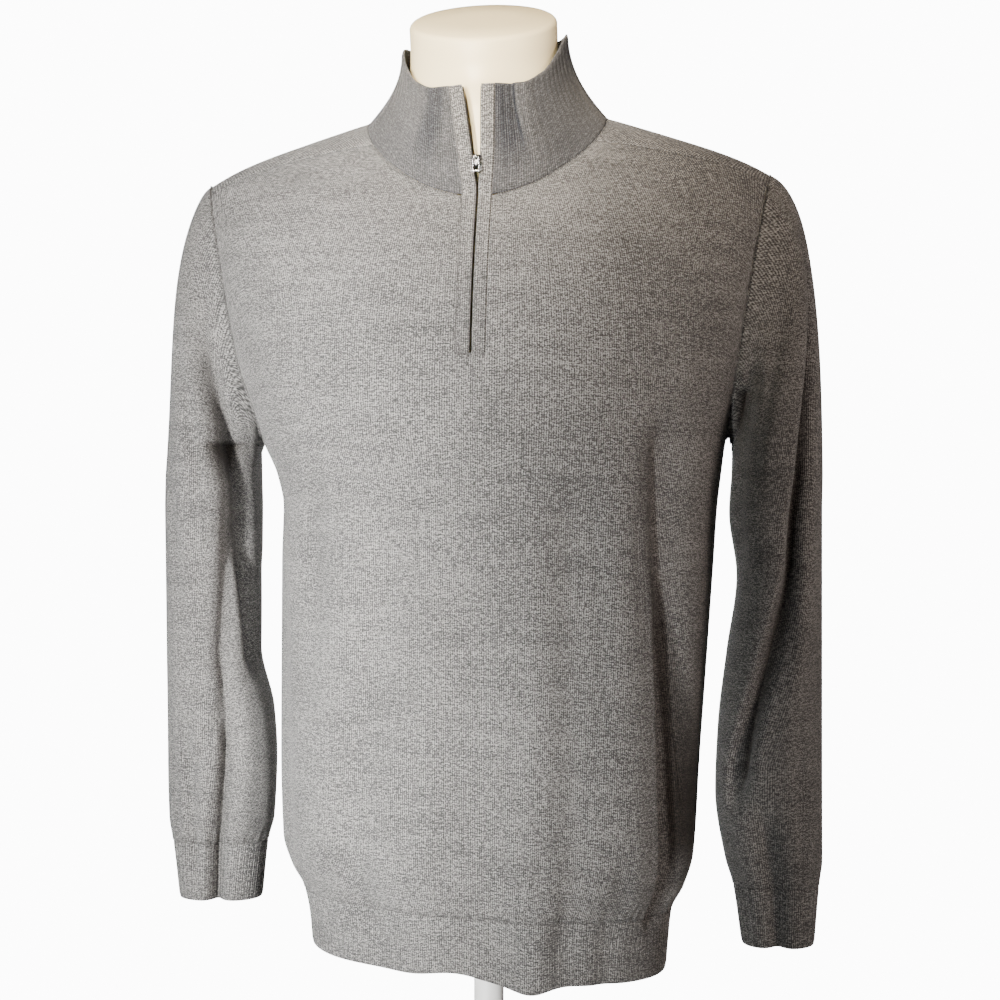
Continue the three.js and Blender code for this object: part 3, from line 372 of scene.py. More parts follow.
class Shells:
    """Turns grids of points into meshes."""

    @staticmethod
    def normals(points: Array, closed: bool) -> Array:
        """Unit vectors square to a grid: the cross product of its two directions."""
        if closed:
            across = np.roll(points, -1, 1) - np.roll(points, 1, 1)
        else:
            across = np.gradient(points, axis=1)
        up = np.gradient(points, axis=0)
        return unit(np.cross(across, up))

    @staticmethod
    def cloth_places(points: Array, closed: bool) -> Array:
        """Texture places in units of 100 mm: arc length across, and arc length up each column."""
        ring = np.concatenate([points, points[:, :1]], 1) if closed else points
        across = np.linalg.norm(np.diff(ring, axis=1), axis=2).mean(0)
        up = np.linalg.norm(np.diff(ring, axis=0), axis=2)
        u = np.concatenate([[0.0], np.cumsum(across)])
        v = np.concatenate([np.zeros((1, ring.shape[1])), np.cumsum(up, 0)], 0)
        return np.stack([np.broadcast_to(u, v.shape), v], 2) / 100

    @classmethod
    def cloth(
        cls,
        name: str,
        points: Array,
        wall: float,
        closed: bool = False,
        keep: Array | None = None,
        relief: Array | None = None,
        painted_shade: Array | None = None,
    ) -> bpy.types.Object:
        """A thin wall: the grid, the same grid moved in along its normals, and rims at every open edge.

        Args:
            name: the piece's name.
            points: rows by columns of points in millimetres, seen from outside with rows going up.
            wall: thickness.
            closed: whether the last column joins the first.
            keep: which cells are made, where not all are.
            relief: how far each outer point is raised.
            painted_shade: how much painted shade each point gets, from 0 to 1, which the knit finish
                multiplies into its colour.

        Returns:
            The new object.
        """
        normal = cls.normals(points, closed)
        outer = points if relief is None else points + normal * relief[..., None]
        inner = points - normal * wall
        rows, columns = points.shape[:2]
        count = rows * columns
        place = np.arange(count).reshape(rows, columns)
        ring = np.concatenate([place, place[:, :1]], 1) if closed else place
        quads = np.stack([ring[:-1, :-1], ring[:-1, 1:], ring[1:, 1:], ring[1:, :-1]], 2)
        uv = cls.cloth_places(points, closed)
        size = uv[-1:, -1:, 0].max() * 100, uv[..., 1].max() * 100
        log.info("%s: %.0f mm across, %.0f mm up", name, *size)
        places = np.stack([uv[:-1, :-1], uv[:-1, 1:], uv[1:, 1:], uv[1:, :-1]], 2)
        mask = np.ones(quads.shape[:2], bool) if keep is None else keep
        quads = quads[mask]
        places = places[mask]
        start = quads.reshape(-1)
        stop = np.roll(quads, -1, 1).reshape(-1)
        start_uv = places.reshape(-1, 2)
        stop_uv = np.roll(places, -1, 1).reshape(-1, 2)
        edge = ~np.isin(start * count + stop, stop * count + start)
        start, stop, start_uv, stop_uv = start[edge], stop[edge], start_uv[edge], stop_uv[edge]
        rims = np.stack([stop, start, start + count, stop + count], 1)
        rim_uv = np.stack([stop_uv, start_uv, start_uv, stop_uv], 1)
        faces = np.concatenate([quads, quads[:, ::-1] + count, rims])
        loops = np.concatenate([places, places[:, ::-1], rim_uv])
        smooth = np.concatenate([np.ones(2 * len(quads), bool), np.zeros(len(rims), bool)])
        vertices = np.concatenate([outer.reshape(-1, 3), inner.reshape(-1, 3)])
        made = cls.object(name, vertices, faces, smooth, loops)
        # Painted shade in folds and creases, kept on each point so that the knit finish darkens its colour
        # there.
        depth = np.zeros((rows, columns)) if painted_shade is None else clip01(painted_shade)
        depth = np.tile(np.broadcast_to(depth, (rows, columns)).ravel(), 2)
        shade = made.data.attributes.new("painted_shade", "FLOAT", "POINT")
        shade.data.foreach_set("value", depth[np.unique(faces.reshape(-1))].astype(np.float32))
        return made

    @classmethod
    def object(
        cls,
        name: str,
        vertices: Array,
        faces: Array,
        smooth: Array | bool = True,
        places: Array | None = None,
    ) -> bpy.types.Object:
        """Puts points and faces of equal size into a new object, and leaves out unused points.

        Args:
            name: the piece's name.
            vertices: points in millimetres.
            faces: rows of point numbers.
            smooth: which faces are smooth.
            places: texture place of each face corner.

        Returns:
            The new object.
        """
        used, index = np.unique(faces.reshape(-1), return_inverse=True)
        mesh = bpy.data.meshes.new(name)
        sides = faces.shape[1]
        mesh.vertices.add(len(used))
        mesh.vertices.foreach_set("co", ((vertices[used] + MODEL_SHIFT) * MM).astype(np.float32).ravel())
        mesh.loops.add(len(index))
        mesh.loops.foreach_set("vertex_index", index.reshape(-1).astype(np.int32))
        mesh.polygons.add(len(faces))
        mesh.polygons.foreach_set("loop_start", np.arange(0, len(index), sides, dtype=np.int32))
        mesh.update(calc_edges=True)
        shading = np.broadcast_to(np.asarray(smooth, bool), (len(faces),))
        mesh.polygons.foreach_set("use_smooth", np.ascontiguousarray(shading))
        if places is not None:
            layer = mesh.uv_layers.new(name="cloth")
            layer.uv.foreach_set("vector", places.astype(np.float32).ravel())
        mesh.validate()
        made = bpy.data.objects.new(name, mesh)
        bpy.context.scene.collection.objects.link(made)
        return made

    @staticmethod
    def tube(path: Array, radius: Array | float, sides: int = 8, flat: float = 1.0) -> tuple[Array, Array]:
        """A round profile carried along a path, with closed ends.

        Args:
            path: points along the middle.
            radius: radius at each point.
            sides: points round the profile.
            flat: height of the profile as a share of its width.

        Returns:
            Points and four-sided faces.
        """
        along = unit(np.gradient(path, axis=0))
        helper = np.where(np.abs(along[:, 2:]) > 0.9, [[0.0, 1.0, 0.0]], [[0.0, 0.0, 1.0]])
        right = unit(np.cross(along, helper))
        up = np.cross(right, along)
        turn = circle(sides)
        radius = np.broadcast_to(radius, (len(path),))[:, None, None]
        ring = right[:, None] * np.cos(turn)[None, :, None] + up[:, None] * flat * np.sin(turn)[None, :, None]
        ring = path[:, None] + ring * radius
        ends = [path[:1][:, None].repeat(sides, 1), path[-1:][:, None].repeat(sides, 1)]
        points, faces = Shells.rings(np.concatenate([ends[0], ring, ends[1]]))
        return points, faces[:, ::-1]

    @staticmethod
    def rings(grid: Array, inwards: bool = False) -> tuple[Array, Array]:
        """Joins rings of equal numbers of points into four-sided faces.

        Args:
            grid: rings by points.
            inwards: whether the rings run so that the faces are turned round.

        Returns:
            Points and faces.
        """
        place = np.arange(grid.shape[0] * grid.shape[1]).reshape(grid.shape[:2])
        following = np.roll(place, -1, 1)
        corners = [place[:-1], following[:-1], following[1:], place[1:]]
        if inwards:
            corners = [place[:-1], place[1:], following[1:], following[:-1]]
        return grid.reshape(-1, 3), np.stack(corners, 2).reshape(-1, 4)

    @classmethod
    def joined(cls, name: str, parts: list[tuple[Array, Array]]) -> bpy.types.Object:
        """Joins several sets of points and four-sided faces into one object."""
        starts = np.cumsum([0] + [len(points) for points, _ in parts[:-1]])
        vertices = np.concatenate([points for points, _ in parts])
        faces = np.concatenate([faces + start for start, (_, faces) in zip(starts, parts)])
        return cls.object(name, vertices, faces)


@dataclass(frozen=True)
class Arm:
    """Where one sleeve starts, and how roundly its cap turns down."""

    side: Side
    underarm: float
    tip: float
    shoulder: float
    slack: float

    def armhole(self, turn: Array | float) -> Array:
        """Distance of the armhole edge from the middle: a quarter cosine from the tip to the underarm."""
        return mix(self.underarm, self.tip, np.cos(np.abs(turn) * np.pi / 2))


RIGHT_ARM = Arm(Side.RIGHT, 185, 229, 0.115, 9)
LEFT_ARM = Arm(Side.LEFT, 191, 226, 0.175, 1)


@dataclass
class BodyShape:
    """The sweater's trunk: its plan sections, its yoke and its folds."""

    underarm: float = 669
    waist: float = 304
    hem: float = 257
    hem_lean: float = 10
    neck_half: float = 97
    neck_front: float = -82
    neck_back: float = 62
    seam_at_neck: float = -40
    seam_at_tip: float = -13
    corner: float = 0.45
    heights: tuple[float, ...] = (
        256, 280, 304, 322, 345, 420, 500, 571, 615, 640, 669, 700, 740, 780, 830, 879, 945,
    )
    right: tuple[float, ...] = (
        142, 144, 149, 159, 166, 168, 168, 168, 167, 172, 185, 196, 211, 225, 238, 251, 260,
    )
    left: tuple[float, ...] = (
        143, 145, 148, 158, 165, 170, 176, 181, 184, 187, 191, 200, 214, 226, 236, 247, 258,
    )
    front: tuple[float, ...] = (
        109, 111, 114, 118, 120, 121, 121, 123, 126, 129, 131, 132, 131, 129, 126, 122, 118,
    )
    back: tuple[float, ...] = (
        108, 110, 112, 115, 117, 115, 111, 112, 116, 119, 121, 124, 126, 126, 123, 118, 112,
    )
    ridge: Curve = Curve(
        (0, 60, 95, 125, 150, 180, 205, 229, 250),
        (938, 935, 927, 918, 910, 900, 890, 877, 862),
    )
    folds: tuple[Fold, ...] = (
        Fold(575, 300, -19, -32, 5.5, 7),
        Fold(520, 292, 1, 3, 5, 7),
        Fold(600, 290, 21, 25, 6.5, 6),
        Fold(650, 330, 46, 62, 9, 6.5, before=0.55, after=1.5),
        Fold(510, 330, 53, 62, 6, 6.5, before=0.55, after=1.5),
        Fold(640, 330, 33, 44, -5, 8),
        Fold(600, 480, -47, -50, 3, 8),
        Fold(322, 255, 40, 41, 4, 5),
        Fold(300, 245, 17, 15, -7, 7),
        Fold(300, 245, -28, -24, 3, 8),
        Fold(700, 360, -78, -66, 4, 7),
        Fold(690, 300, 122, 128, 9, 7),
        Fold(690, 320, -124, -132, 8, 7),
        Fold(640, 280, 150, 146, 6, 8),
        Fold(560, 260, 176, 172, 5.5, 8),
        Fold(620, 270, -154, -150, 6, 8),
    )

    def reach(self, name: str, z: Array | float) -> Array:
        """Reads one of the plan section's four reaches at heights z."""
        return Curve(self.heights, getattr(self, name))(z)

    def folded(self, x: Array, y: Array, z: Array, half: Array, reach: Array, angle: Array) -> Array:
        """Moves points in by the folds, level and square to the plan section, and leans the hem."""
        depth = sum(fold.press(angle, z) for fold in self.folds)
        out_x = x / half**2
        out_y = y / reach**2
        size = np.maximum(np.hypot(out_x, out_y), 1e-12)
        lean = -self.hem_lean * x * clip01((500 - z) / 243) / 150
        return np.stack([x - out_x / size * depth, y - out_y / size * depth, z + lean], -1)

    def ring(self, angle: Array, z: Array) -> Array:
        """The trunk below the underarm: rounded plan sections at angles from the centre front."""
        angle, z = np.broadcast_arrays(angle, z)
        half = np.where(angle < 0, self.reach("right", z), self.reach("left", z))
        reach = np.where(np.abs(angle) < 90, self.reach("front", z), self.reach("back", z))
        turned = np.radians(angle)
        x = half * signed_power(np.sin(turned), 2 / SQUARENESS)
        y = -reach * signed_power(np.cos(turned), 2 / SQUARENESS)
        return self.folded(x, y, z, half, reach, angle)

    def section(self, x: Array, turn: Array) -> tuple[Array, Array, Array, Array, Array]:
        """The yoke: each section across the shoulder is a cubic curve that arrives level on the ridge.

        Args:
            x: distances from the middle.
            turn: -1 at the front underarm level, 0 on the ridge, 1 at the back underarm level.

        Returns:
            y, z, half width, reach and share of the half width.
        """
        x, turn = np.broadcast_arrays(np.asarray(x, float), np.asarray(turn, float))
        up, out = shoulder_section(1 - np.abs(turn), turn < 0)
        z = self.underarm + (self.ridge(np.abs(x)) - self.underarm) * up
        half = np.where(x < 0, self.reach("right", z), self.reach("left", z))
        reach = np.where(turn < 0, self.reach("front", z), self.reach("back", z))
        share = np.minimum(1, np.abs(x) / half)
        sign = np.where(turn < 0, -1.0, 1.0)
        y = sign * reach * (1 - share**SQUARENESS) ** (1 / SQUARENESS) * out
        return y, z, half, reach, share

    def yoke(self, x: Array, turn: Array) -> Array:
        """Points of the yoke with their folds."""
        x, turn = np.broadcast_arrays(np.asarray(x, float), np.asarray(turn, float))
        y, z, half, reach, share = self.section(x, turn)
        away = aside(share, 1)
        angle = np.sign(x) * np.where(turn < 0, away, 180 - away)
        return self.folded(x, y, z, half, reach, angle)

    def turn_at(self, x: Array, y: Array) -> Array:
        """The turn at which the yoke passes through y at x."""
        x, y = np.broadcast_arrays(np.asarray(x, float), np.asarray(y, float))
        side = np.where(y < 0, -1.0, 1.0)
        found = bisect(0, 1, x.shape, lambda t: np.abs(self.section(x, side * t)[0]) < np.abs(y))
        return side * found

    def neck(self, angle: Array, clearance: float) -> tuple[Array, Array]:
        """The neck seam seen from above: an oval, grown by a clearance."""
        middle = (self.neck_front + self.neck_back) / 2
        depth = (self.neck_back - self.neck_front) / 2 + clearance
        turned = np.radians(angle)
        return (self.neck_half + clearance) * np.sin(turned), middle - depth * np.cos(turned)

    @property
    def corner_angle(self) -> float:
        """Angle round the neck at which the shoulder seam starts."""
        middle = (self.neck_front + self.neck_back) / 2
        depth = (self.neck_back - self.neck_front) / 2
        return math.degrees(math.acos((middle - self.seam_at_neck) / depth))

    def shoulder_y(self, x: Array, arm: Arm) -> Array:
        """How far in front of the ridge the shoulder seam runs at a distance x."""
        return mix(self.seam_at_neck, self.seam_at_tip, clip01((x - 88) / (arm.tip - 88)))

    def front_place(self, x: Array, z: Array) -> Array:
        """Points of the bare front at x and z, found by halving the turn."""
        x, z = np.broadcast_arrays(np.asarray(x, float), np.asarray(z, float))
        turn = -bisect(0, 1, x.shape, lambda t: self.section(x, -t)[1] > z)
        return self.yoke(x, turn)


@dataclass(frozen=True)
class PanelCut:
    """What tells the front panel from the back one."""

    front: bool
    inner: float
    centre: float
    start: float
    gap: float


FRONT_CUT = PanelCut(True, 11.5, 0.06, 7, -0.24)
BACK_CUT = PanelCut(False, 0, 0, 180, 0.24)


@dataclass
class Finish:
    """What every finish shares: its material, and the ways in which textures drive its shader."""

    name: str

    def __post_init__(self) -> None:
        """Makes an empty material with its shader."""
        self.material = bpy.data.materials.new(self.name)
        self.material.use_nodes = True
        self.tree = self.material.node_tree
        self.shader = self.tree.nodes["Principled BSDF"]
        self.link = self.tree.links.new

    def texture(self, kind: str, **values: object) -> bpy.types.NodeSocket:
        """Adds a texture that is read at the object's own places, and gives its tone."""
        made = node(self.tree, kind, **values)
        self.link(node(self.tree, "TexCoord").outputs["Object"], made.inputs["Vector"])
        return made.outputs["Fac"]

    def ramp(self, tone: bpy.types.NodeSocket, *colors: tuple[float, ...]) -> bpy.types.NodeSocket:
        """Turns a tone into a colour between two or three evenly spaced ones."""
        made = node(self.tree, "ValToRGB")
        stops = made.color_ramp.elements
        stops[0].color = (*colors[0], 1)
        stops[1].color = (*colors[-1], 1)
        for color in colors[1:-1]:
            stops.new(0.5).color = (*color, 1)
        self.link(tone, made.inputs["Fac"])
        return made.outputs["Color"]

    def paint(self, tone: bpy.types.NodeSocket, color: tuple[float, ...], low: float, high: float) -> None:
        """Colours the shader with one colour, times a low and a high factor at the tone's ends."""
        ends = [tuple(min(1, c * factor) for c in color) for factor in (low, high)]
        self.link(self.ramp(tone, *ends), self.shader.inputs["Base Color"])

    def rub(self, tone: bpy.types.NodeSocket, low: float, high: float) -> None:
        """Lets a tone move the roughness between two values."""
        rough = node(self.tree, "MapRange", To_Min=low, To_Max=high)
        self.link(tone, rough.inputs["Value"])
        self.link(rough.outputs["Result"], self.shader.inputs["Roughness"])

    def bend(self, height: bpy.types.NodeSocket, strength: float, distance: float) -> None:
        """Lets a height bend the shader's normals, with the distance in metres."""
        bump = node(self.tree, "Bump", Strength=strength, Distance=distance)
        self.link(height, bump.inputs["Height"])
        self.link(bump.outputs["Normal"], self.shader.inputs["Normal"])


def node(tree: bpy.types.NodeTree, kind: str, **values: object) -> bpy.types.Node:
    """Adds a node, sets its properties, and its inputs where a key names an input.

    Args:
        tree: the node tree.
        kind: the node's type name without its ShaderNode prefix.
        **values: properties, or inputs with spaces written as underscores.

    Returns:
        The node.
    """
    made = tree.nodes.new("ShaderNode" + kind)
    for key, value in values.items():
        if hasattr(made, key):
            setattr(made, key, value)
        else:
            made.inputs[key.replace("_", " ")].default_value = value
    return made


class YarnGroup:
    """The heather yarn: salt and pepper flecks, short level streaks, soft bands, and upright wales."""

    _tree: bpy.types.NodeTree | None = None

    @classmethod
    def tree(cls) -> bpy.types.NodeTree:
        """Builds the node group once.

        Returns:
            A group with inputs Place, Wales, Contrast, and outputs Tone and Height.
        """
        if cls._tree is not None:
            return cls._tree
        tree = bpy.data.node_groups.new("Heather yarn", "ShaderNodeTree")
        face = tree.interface
        face.new_socket(name="Place", in_out="INPUT", socket_type="NodeSocketVector")
        face.new_socket(name="Wales", in_out="INPUT", socket_type="NodeSocketFloat")
        face.new_socket(name="Contrast", in_out="INPUT", socket_type="NodeSocketFloat")
        face.new_socket(name="Tone", in_out="OUTPUT", socket_type="NodeSocketFloat")
        face.new_socket(name="Height", in_out="OUTPUT", socket_type="NodeSocketFloat")
        link = tree.links.new
        given = tree.nodes.new("NodeGroupInput")
        result = tree.nodes.new("NodeGroupOutput")

        def scaled(x: float, y: float) -> bpy.types.NodeSocket:
            """Stretches the place so that one unit is x mm across and y mm up."""
            made = node(tree, "VectorMath", operation="MULTIPLY")
            link(given.outputs["Place"], made.inputs[0])
            made.inputs[1].default_value = (100 / x, 100 / y, 1)
            return made.outputs[0]

        def noise(place: bpy.types.NodeSocket, detail: float) -> bpy.types.NodeSocket:
            """A noise of about 0.25 to 0.75 with no bias."""
            made = node(tree, "TexNoise", Scale=1.0, Detail=detail, Roughness=0.6)
            link(place, made.inputs["Vector"])
            return made.outputs["Fac"]

        def weighed(parts: list[tuple[bpy.types.NodeSocket, float]], base: float) -> bpy.types.NodeSocket:
            """A sum of parts, each times its weight, on a base."""
            total: bpy.types.NodeSocket | None = None
            for socket, weight in parts:
                step = node(tree, "Math", operation="MULTIPLY_ADD")
                link(socket, step.inputs[0])
                step.inputs[1].default_value = weight
                step.inputs[2].default_value = base
                if total is not None:
                    link(total, step.inputs[2])
                total = step.outputs[0]
            assert total is not None
            return total

        flecks = noise(scaled(1.3, 1.0), 1.0)
        streaks = noise(scaled(5, 1.4), 1.0)
        sparks = node(tree, "MapRange", From_Min=0.62, From_Max=0.74, To_Min=0.0, To_Max=1.0)
        link(noise(scaled(2.2, 1.3), 1.0), sparks.inputs["Value"])
        bands = noise(scaled(48, 11), 2.0)
        clouds = noise(scaled(120, 90), 1.0)
        split = node(tree, "SeparateXYZ")
        link(given.outputs["Place"], split.inputs[0])
        wale = node(tree, "Math", operation="MULTIPLY")
        link(split.outputs["X"], wale.inputs[0])
        link(given.outputs["Wales"], wale.inputs[1])
        wave = node(tree, "Math", operation="SINE")
        link(wale.outputs[0], wave.inputs[0])
        tone = weighed(
            [
                (flecks, 2.6),
                (streaks, 1.5),
                (bands, 0.5),
                (clouds, 0.3),
                (wave.outputs[0], 0.24),
                (sparks.outputs["Result"], 0.9),
            ],
            -2.52,
        )
        spread = node(tree, "Math", operation="MULTIPLY_ADD", use_clamp=True)
        link(tone, spread.inputs[0])
        link(given.outputs["Contrast"], spread.inputs[1])
        spread.inputs[2].default_value = 0.5
        link(spread.outputs[0], result.inputs["Tone"])
        height = weighed([(wave.outputs[0], 0.5), (flecks, 0.9), (streaks, 0.35)], 0.0)
        link(height, result.inputs["Height"])
        cls._tree = tree
        return tree


@dataclass
class HeatherKnit(Finish):
    """Fine heather knit, lit softly, with a slight nap."""

    dark: tuple[float, float, float] = (0.05, 0.0495, 0.0495)
    middle: tuple[float, float, float] = (0.122, 0.12, 0.118)
    light: tuple[float, float, float] = (0.33, 0.322, 0.308)
    wale_pitch: float = 1.7
    contrast: float = 1.25
    bump: float = 0.5
    follows_cloth: bool = True
    # The dark tint that painted shade in folds and creases multiplies into the colour.
    painted_shade_tint: tuple[float, float, float] = (0.17, 0.145, 0.125)

    def make(self) -> bpy.types.Material:
        """Wires the yarn group into colour, roughness and bump, and darkens the colour towards a tint by the
        painted shade attribute.
        """
        tree, link, shader = self.tree, self.link, self.shader
        yarn = node(tree, "Group", node_tree=YarnGroup.tree())
        yarn.inputs["Wales"].default_value = 2 * math.pi * 100 / self.wale_pitch
        yarn.inputs["Contrast"].default_value = self.contrast
        if self.follows_cloth:
            link(node(tree, "UVMap", uv_map="cloth").outputs["UV"], yarn.inputs["Place"])
        else:
            place = node(tree, "VectorMath", operation="SCALE", Scale=10.0)
            link(node(tree, "TexCoord").outputs["Object"], place.inputs[0])
            link(place.outputs[0], yarn.inputs["Place"])
        # Painted shade: the colour is multiplied towards the tint where the attribute is high.
        painted_shade = node(tree, "Attribute", attribute_name="painted_shade")
        painted_shade_mix = node(tree, "Mix", data_type="RGBA", blend_type="MULTIPLY")
        painted_shade_mix.inputs[7].default_value = (*self.painted_shade_tint, 1)
        link(painted_shade.outputs["Fac"], painted_shade_mix.inputs[0])
        link(self.ramp(yarn.outputs["Tone"], self.dark, self.middle, self.light), painted_shade_mix.inputs[6])
        link(painted_shade_mix.outputs[2], shader.inputs["Base Color"])
        self.bend(yarn.outputs["Height"], self.bump, 0.0006)
        shader.inputs["Roughness"].default_value = 0.92
        shader.inputs["Specular IOR Level"].default_value = 0.2
        shader.inputs["Sheen Weight"].default_value = 0.12
        shader.inputs["Sheen Roughness"].default_value = 0.5
        return self.material


@dataclass
class WovenTape(Finish):
    """The zip's dark tape, with a fine herringbone weave."""

    color: tuple[float, float, float] = (0.024, 0.022, 0.021)

    def make(self) -> bpy.types.Material:
        """Fine diagonal weave in colour and bump."""
        weave = self.texture("TexWave", bands_direction="DIAGONAL", Scale=900.0, Distortion=0.6)
        self.paint(weave, self.color, 0.6, 1.7)
        self.bend(weave, 0.4, 0.0002)
        self.shader.inputs["Roughness"].default_value = 0.8
        return self.material


@dataclass
class ZipMetal(Finish):
    """Worn, polished metal with fine scratches."""

    color: tuple[float, float, float] = (0.3, 0.3, 0.31)

    def make(self) -> bpy.types.Material:
        """Scratches in roughness and bump."""
        scratches = self.texture("TexNoise", Scale=900.0, Detail=4.0)
        self.rub(scratches, 0.14, 0.4)
        self.bend(scratches, 0.15, 0.0001)
        self.shader.inputs["Base Color"].default_value = (*self.color, 1)
        self.shader.inputs["Metallic"].default_value = 1.0
        return self.material


@dataclass
class MouldedShell(Finish):
    """The form's ivory shell: satin, with faint clouding and handling marks."""

    color: tuple[float, float, float] = (0.97, 0.83, 0.52)

    def make(self) -> bpy.types.Material:
        """Clouds in colour and roughness, and a slight orange-peel bump."""
        clouds = self.texture("TexNoise", Scale=9.0, Detail=5.0, Roughness=0.65)
        self.paint(clouds, self.color, 0.93, 1.04)
        self.rub(clouds, 0.34, 0.52)
        self.bend(self.texture("TexNoise", Scale=420.0, Detail=2.0), 0.06, 0.0004)
        return self.material


@dataclass
class CoatedSteel(Finish):
    """The stand's satin white coating."""

    color: tuple[float, float, float] = (0.9, 0.9, 0.89)

    def make(self) -> bpy.types.Material:
        """Orange-peel coating with faint rubs."""
        rubs = self.texture("TexNoise", Scale=40.0, Detail=6.0)
        self.paint(rubs, self.color, 0.92, 1)
        self.bend(rubs, 0.08, 0.0003)
        self.shader.inputs["Roughness"].default_value = 0.38
        return self.material


@dataclass
class Wardrobe:
    """All finishes, each made once."""

    knit: bpy.types.Material
    rib: bpy.types.Material
    collar_rib: bpy.types.Material
    thread: bpy.types.Material
    tape: bpy.types.Material
    metal: bpy.types.Material
    dark_metal: bpy.types.Material
    shell: bpy.types.Material
    coat: bpy.types.Material

    @classmethod
    def make(cls) -> Wardrobe:
        """Makes every material of the object."""
        return cls(
            knit=HeatherKnit("heather knit").make(),
            rib=HeatherKnit("heather rib", contrast=1.1, bump=0.3).make(),
            collar_rib=HeatherKnit(
                "heather collar rib",
                dark=(0.033, 0.033, 0.034),
                middle=(0.07, 0.07, 0.073),
                light=(0.185, 0.184, 0.184),
                contrast=0.62,
                # A bluish tint for the painted shade beside the zip opening.
                painted_shade_tint=(0.3, 0.33, 0.4),
            ).make(),
            thread=HeatherKnit(
                "linking yarn",
                dark=(0.045, 0.0445, 0.044),
                middle=(0.092, 0.09, 0.088),
                light=(0.24, 0.235, 0.226),
                contrast=0.7,
                bump=0.2,
                follows_cloth=False,
            ).make(),
            tape=WovenTape("zip tape").make(),
            metal=ZipMetal("zip metal").make(),
            dark_metal=ZipMetal("worn zip metal", color=(0.07, 0.07, 0.073)).make(),
            shell=MouldedShell("ivory shell").make(),
            coat=CoatedSteel("white coating").make(),
        )


@dataclass
class Dresser:
    """Gives a finished piece its material, its body and the nodes that it stands for."""

    finishes: Wardrobe
    body: str = "sweater_on_form"
    made: list[str] = field(default_factory=list)

    def dress(
        self,
        piece: bpy.types.Object,
        material: bpy.types.Material,
        slot: str,
        replaces: tuple[str, ...] = (),
        body: str | None = None,
    ) -> bpy.types.Object:
        """Finishes a piece.

        Args:
            piece: the new object.
            material: its finish.
            slot: not used.
            replaces: nodes that the piece stands for.
            body: the body that it rides on, if not the main one.

        Returns:
            The same object.
        """
        piece.data.materials.append(material)
        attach(piece, body or self.body)
        if replaces:
            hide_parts(*replaces)
        self.made.append(piece.name)
        log.info("%s: %d faces", piece.name, len(piece.data.polygons))
        return piece


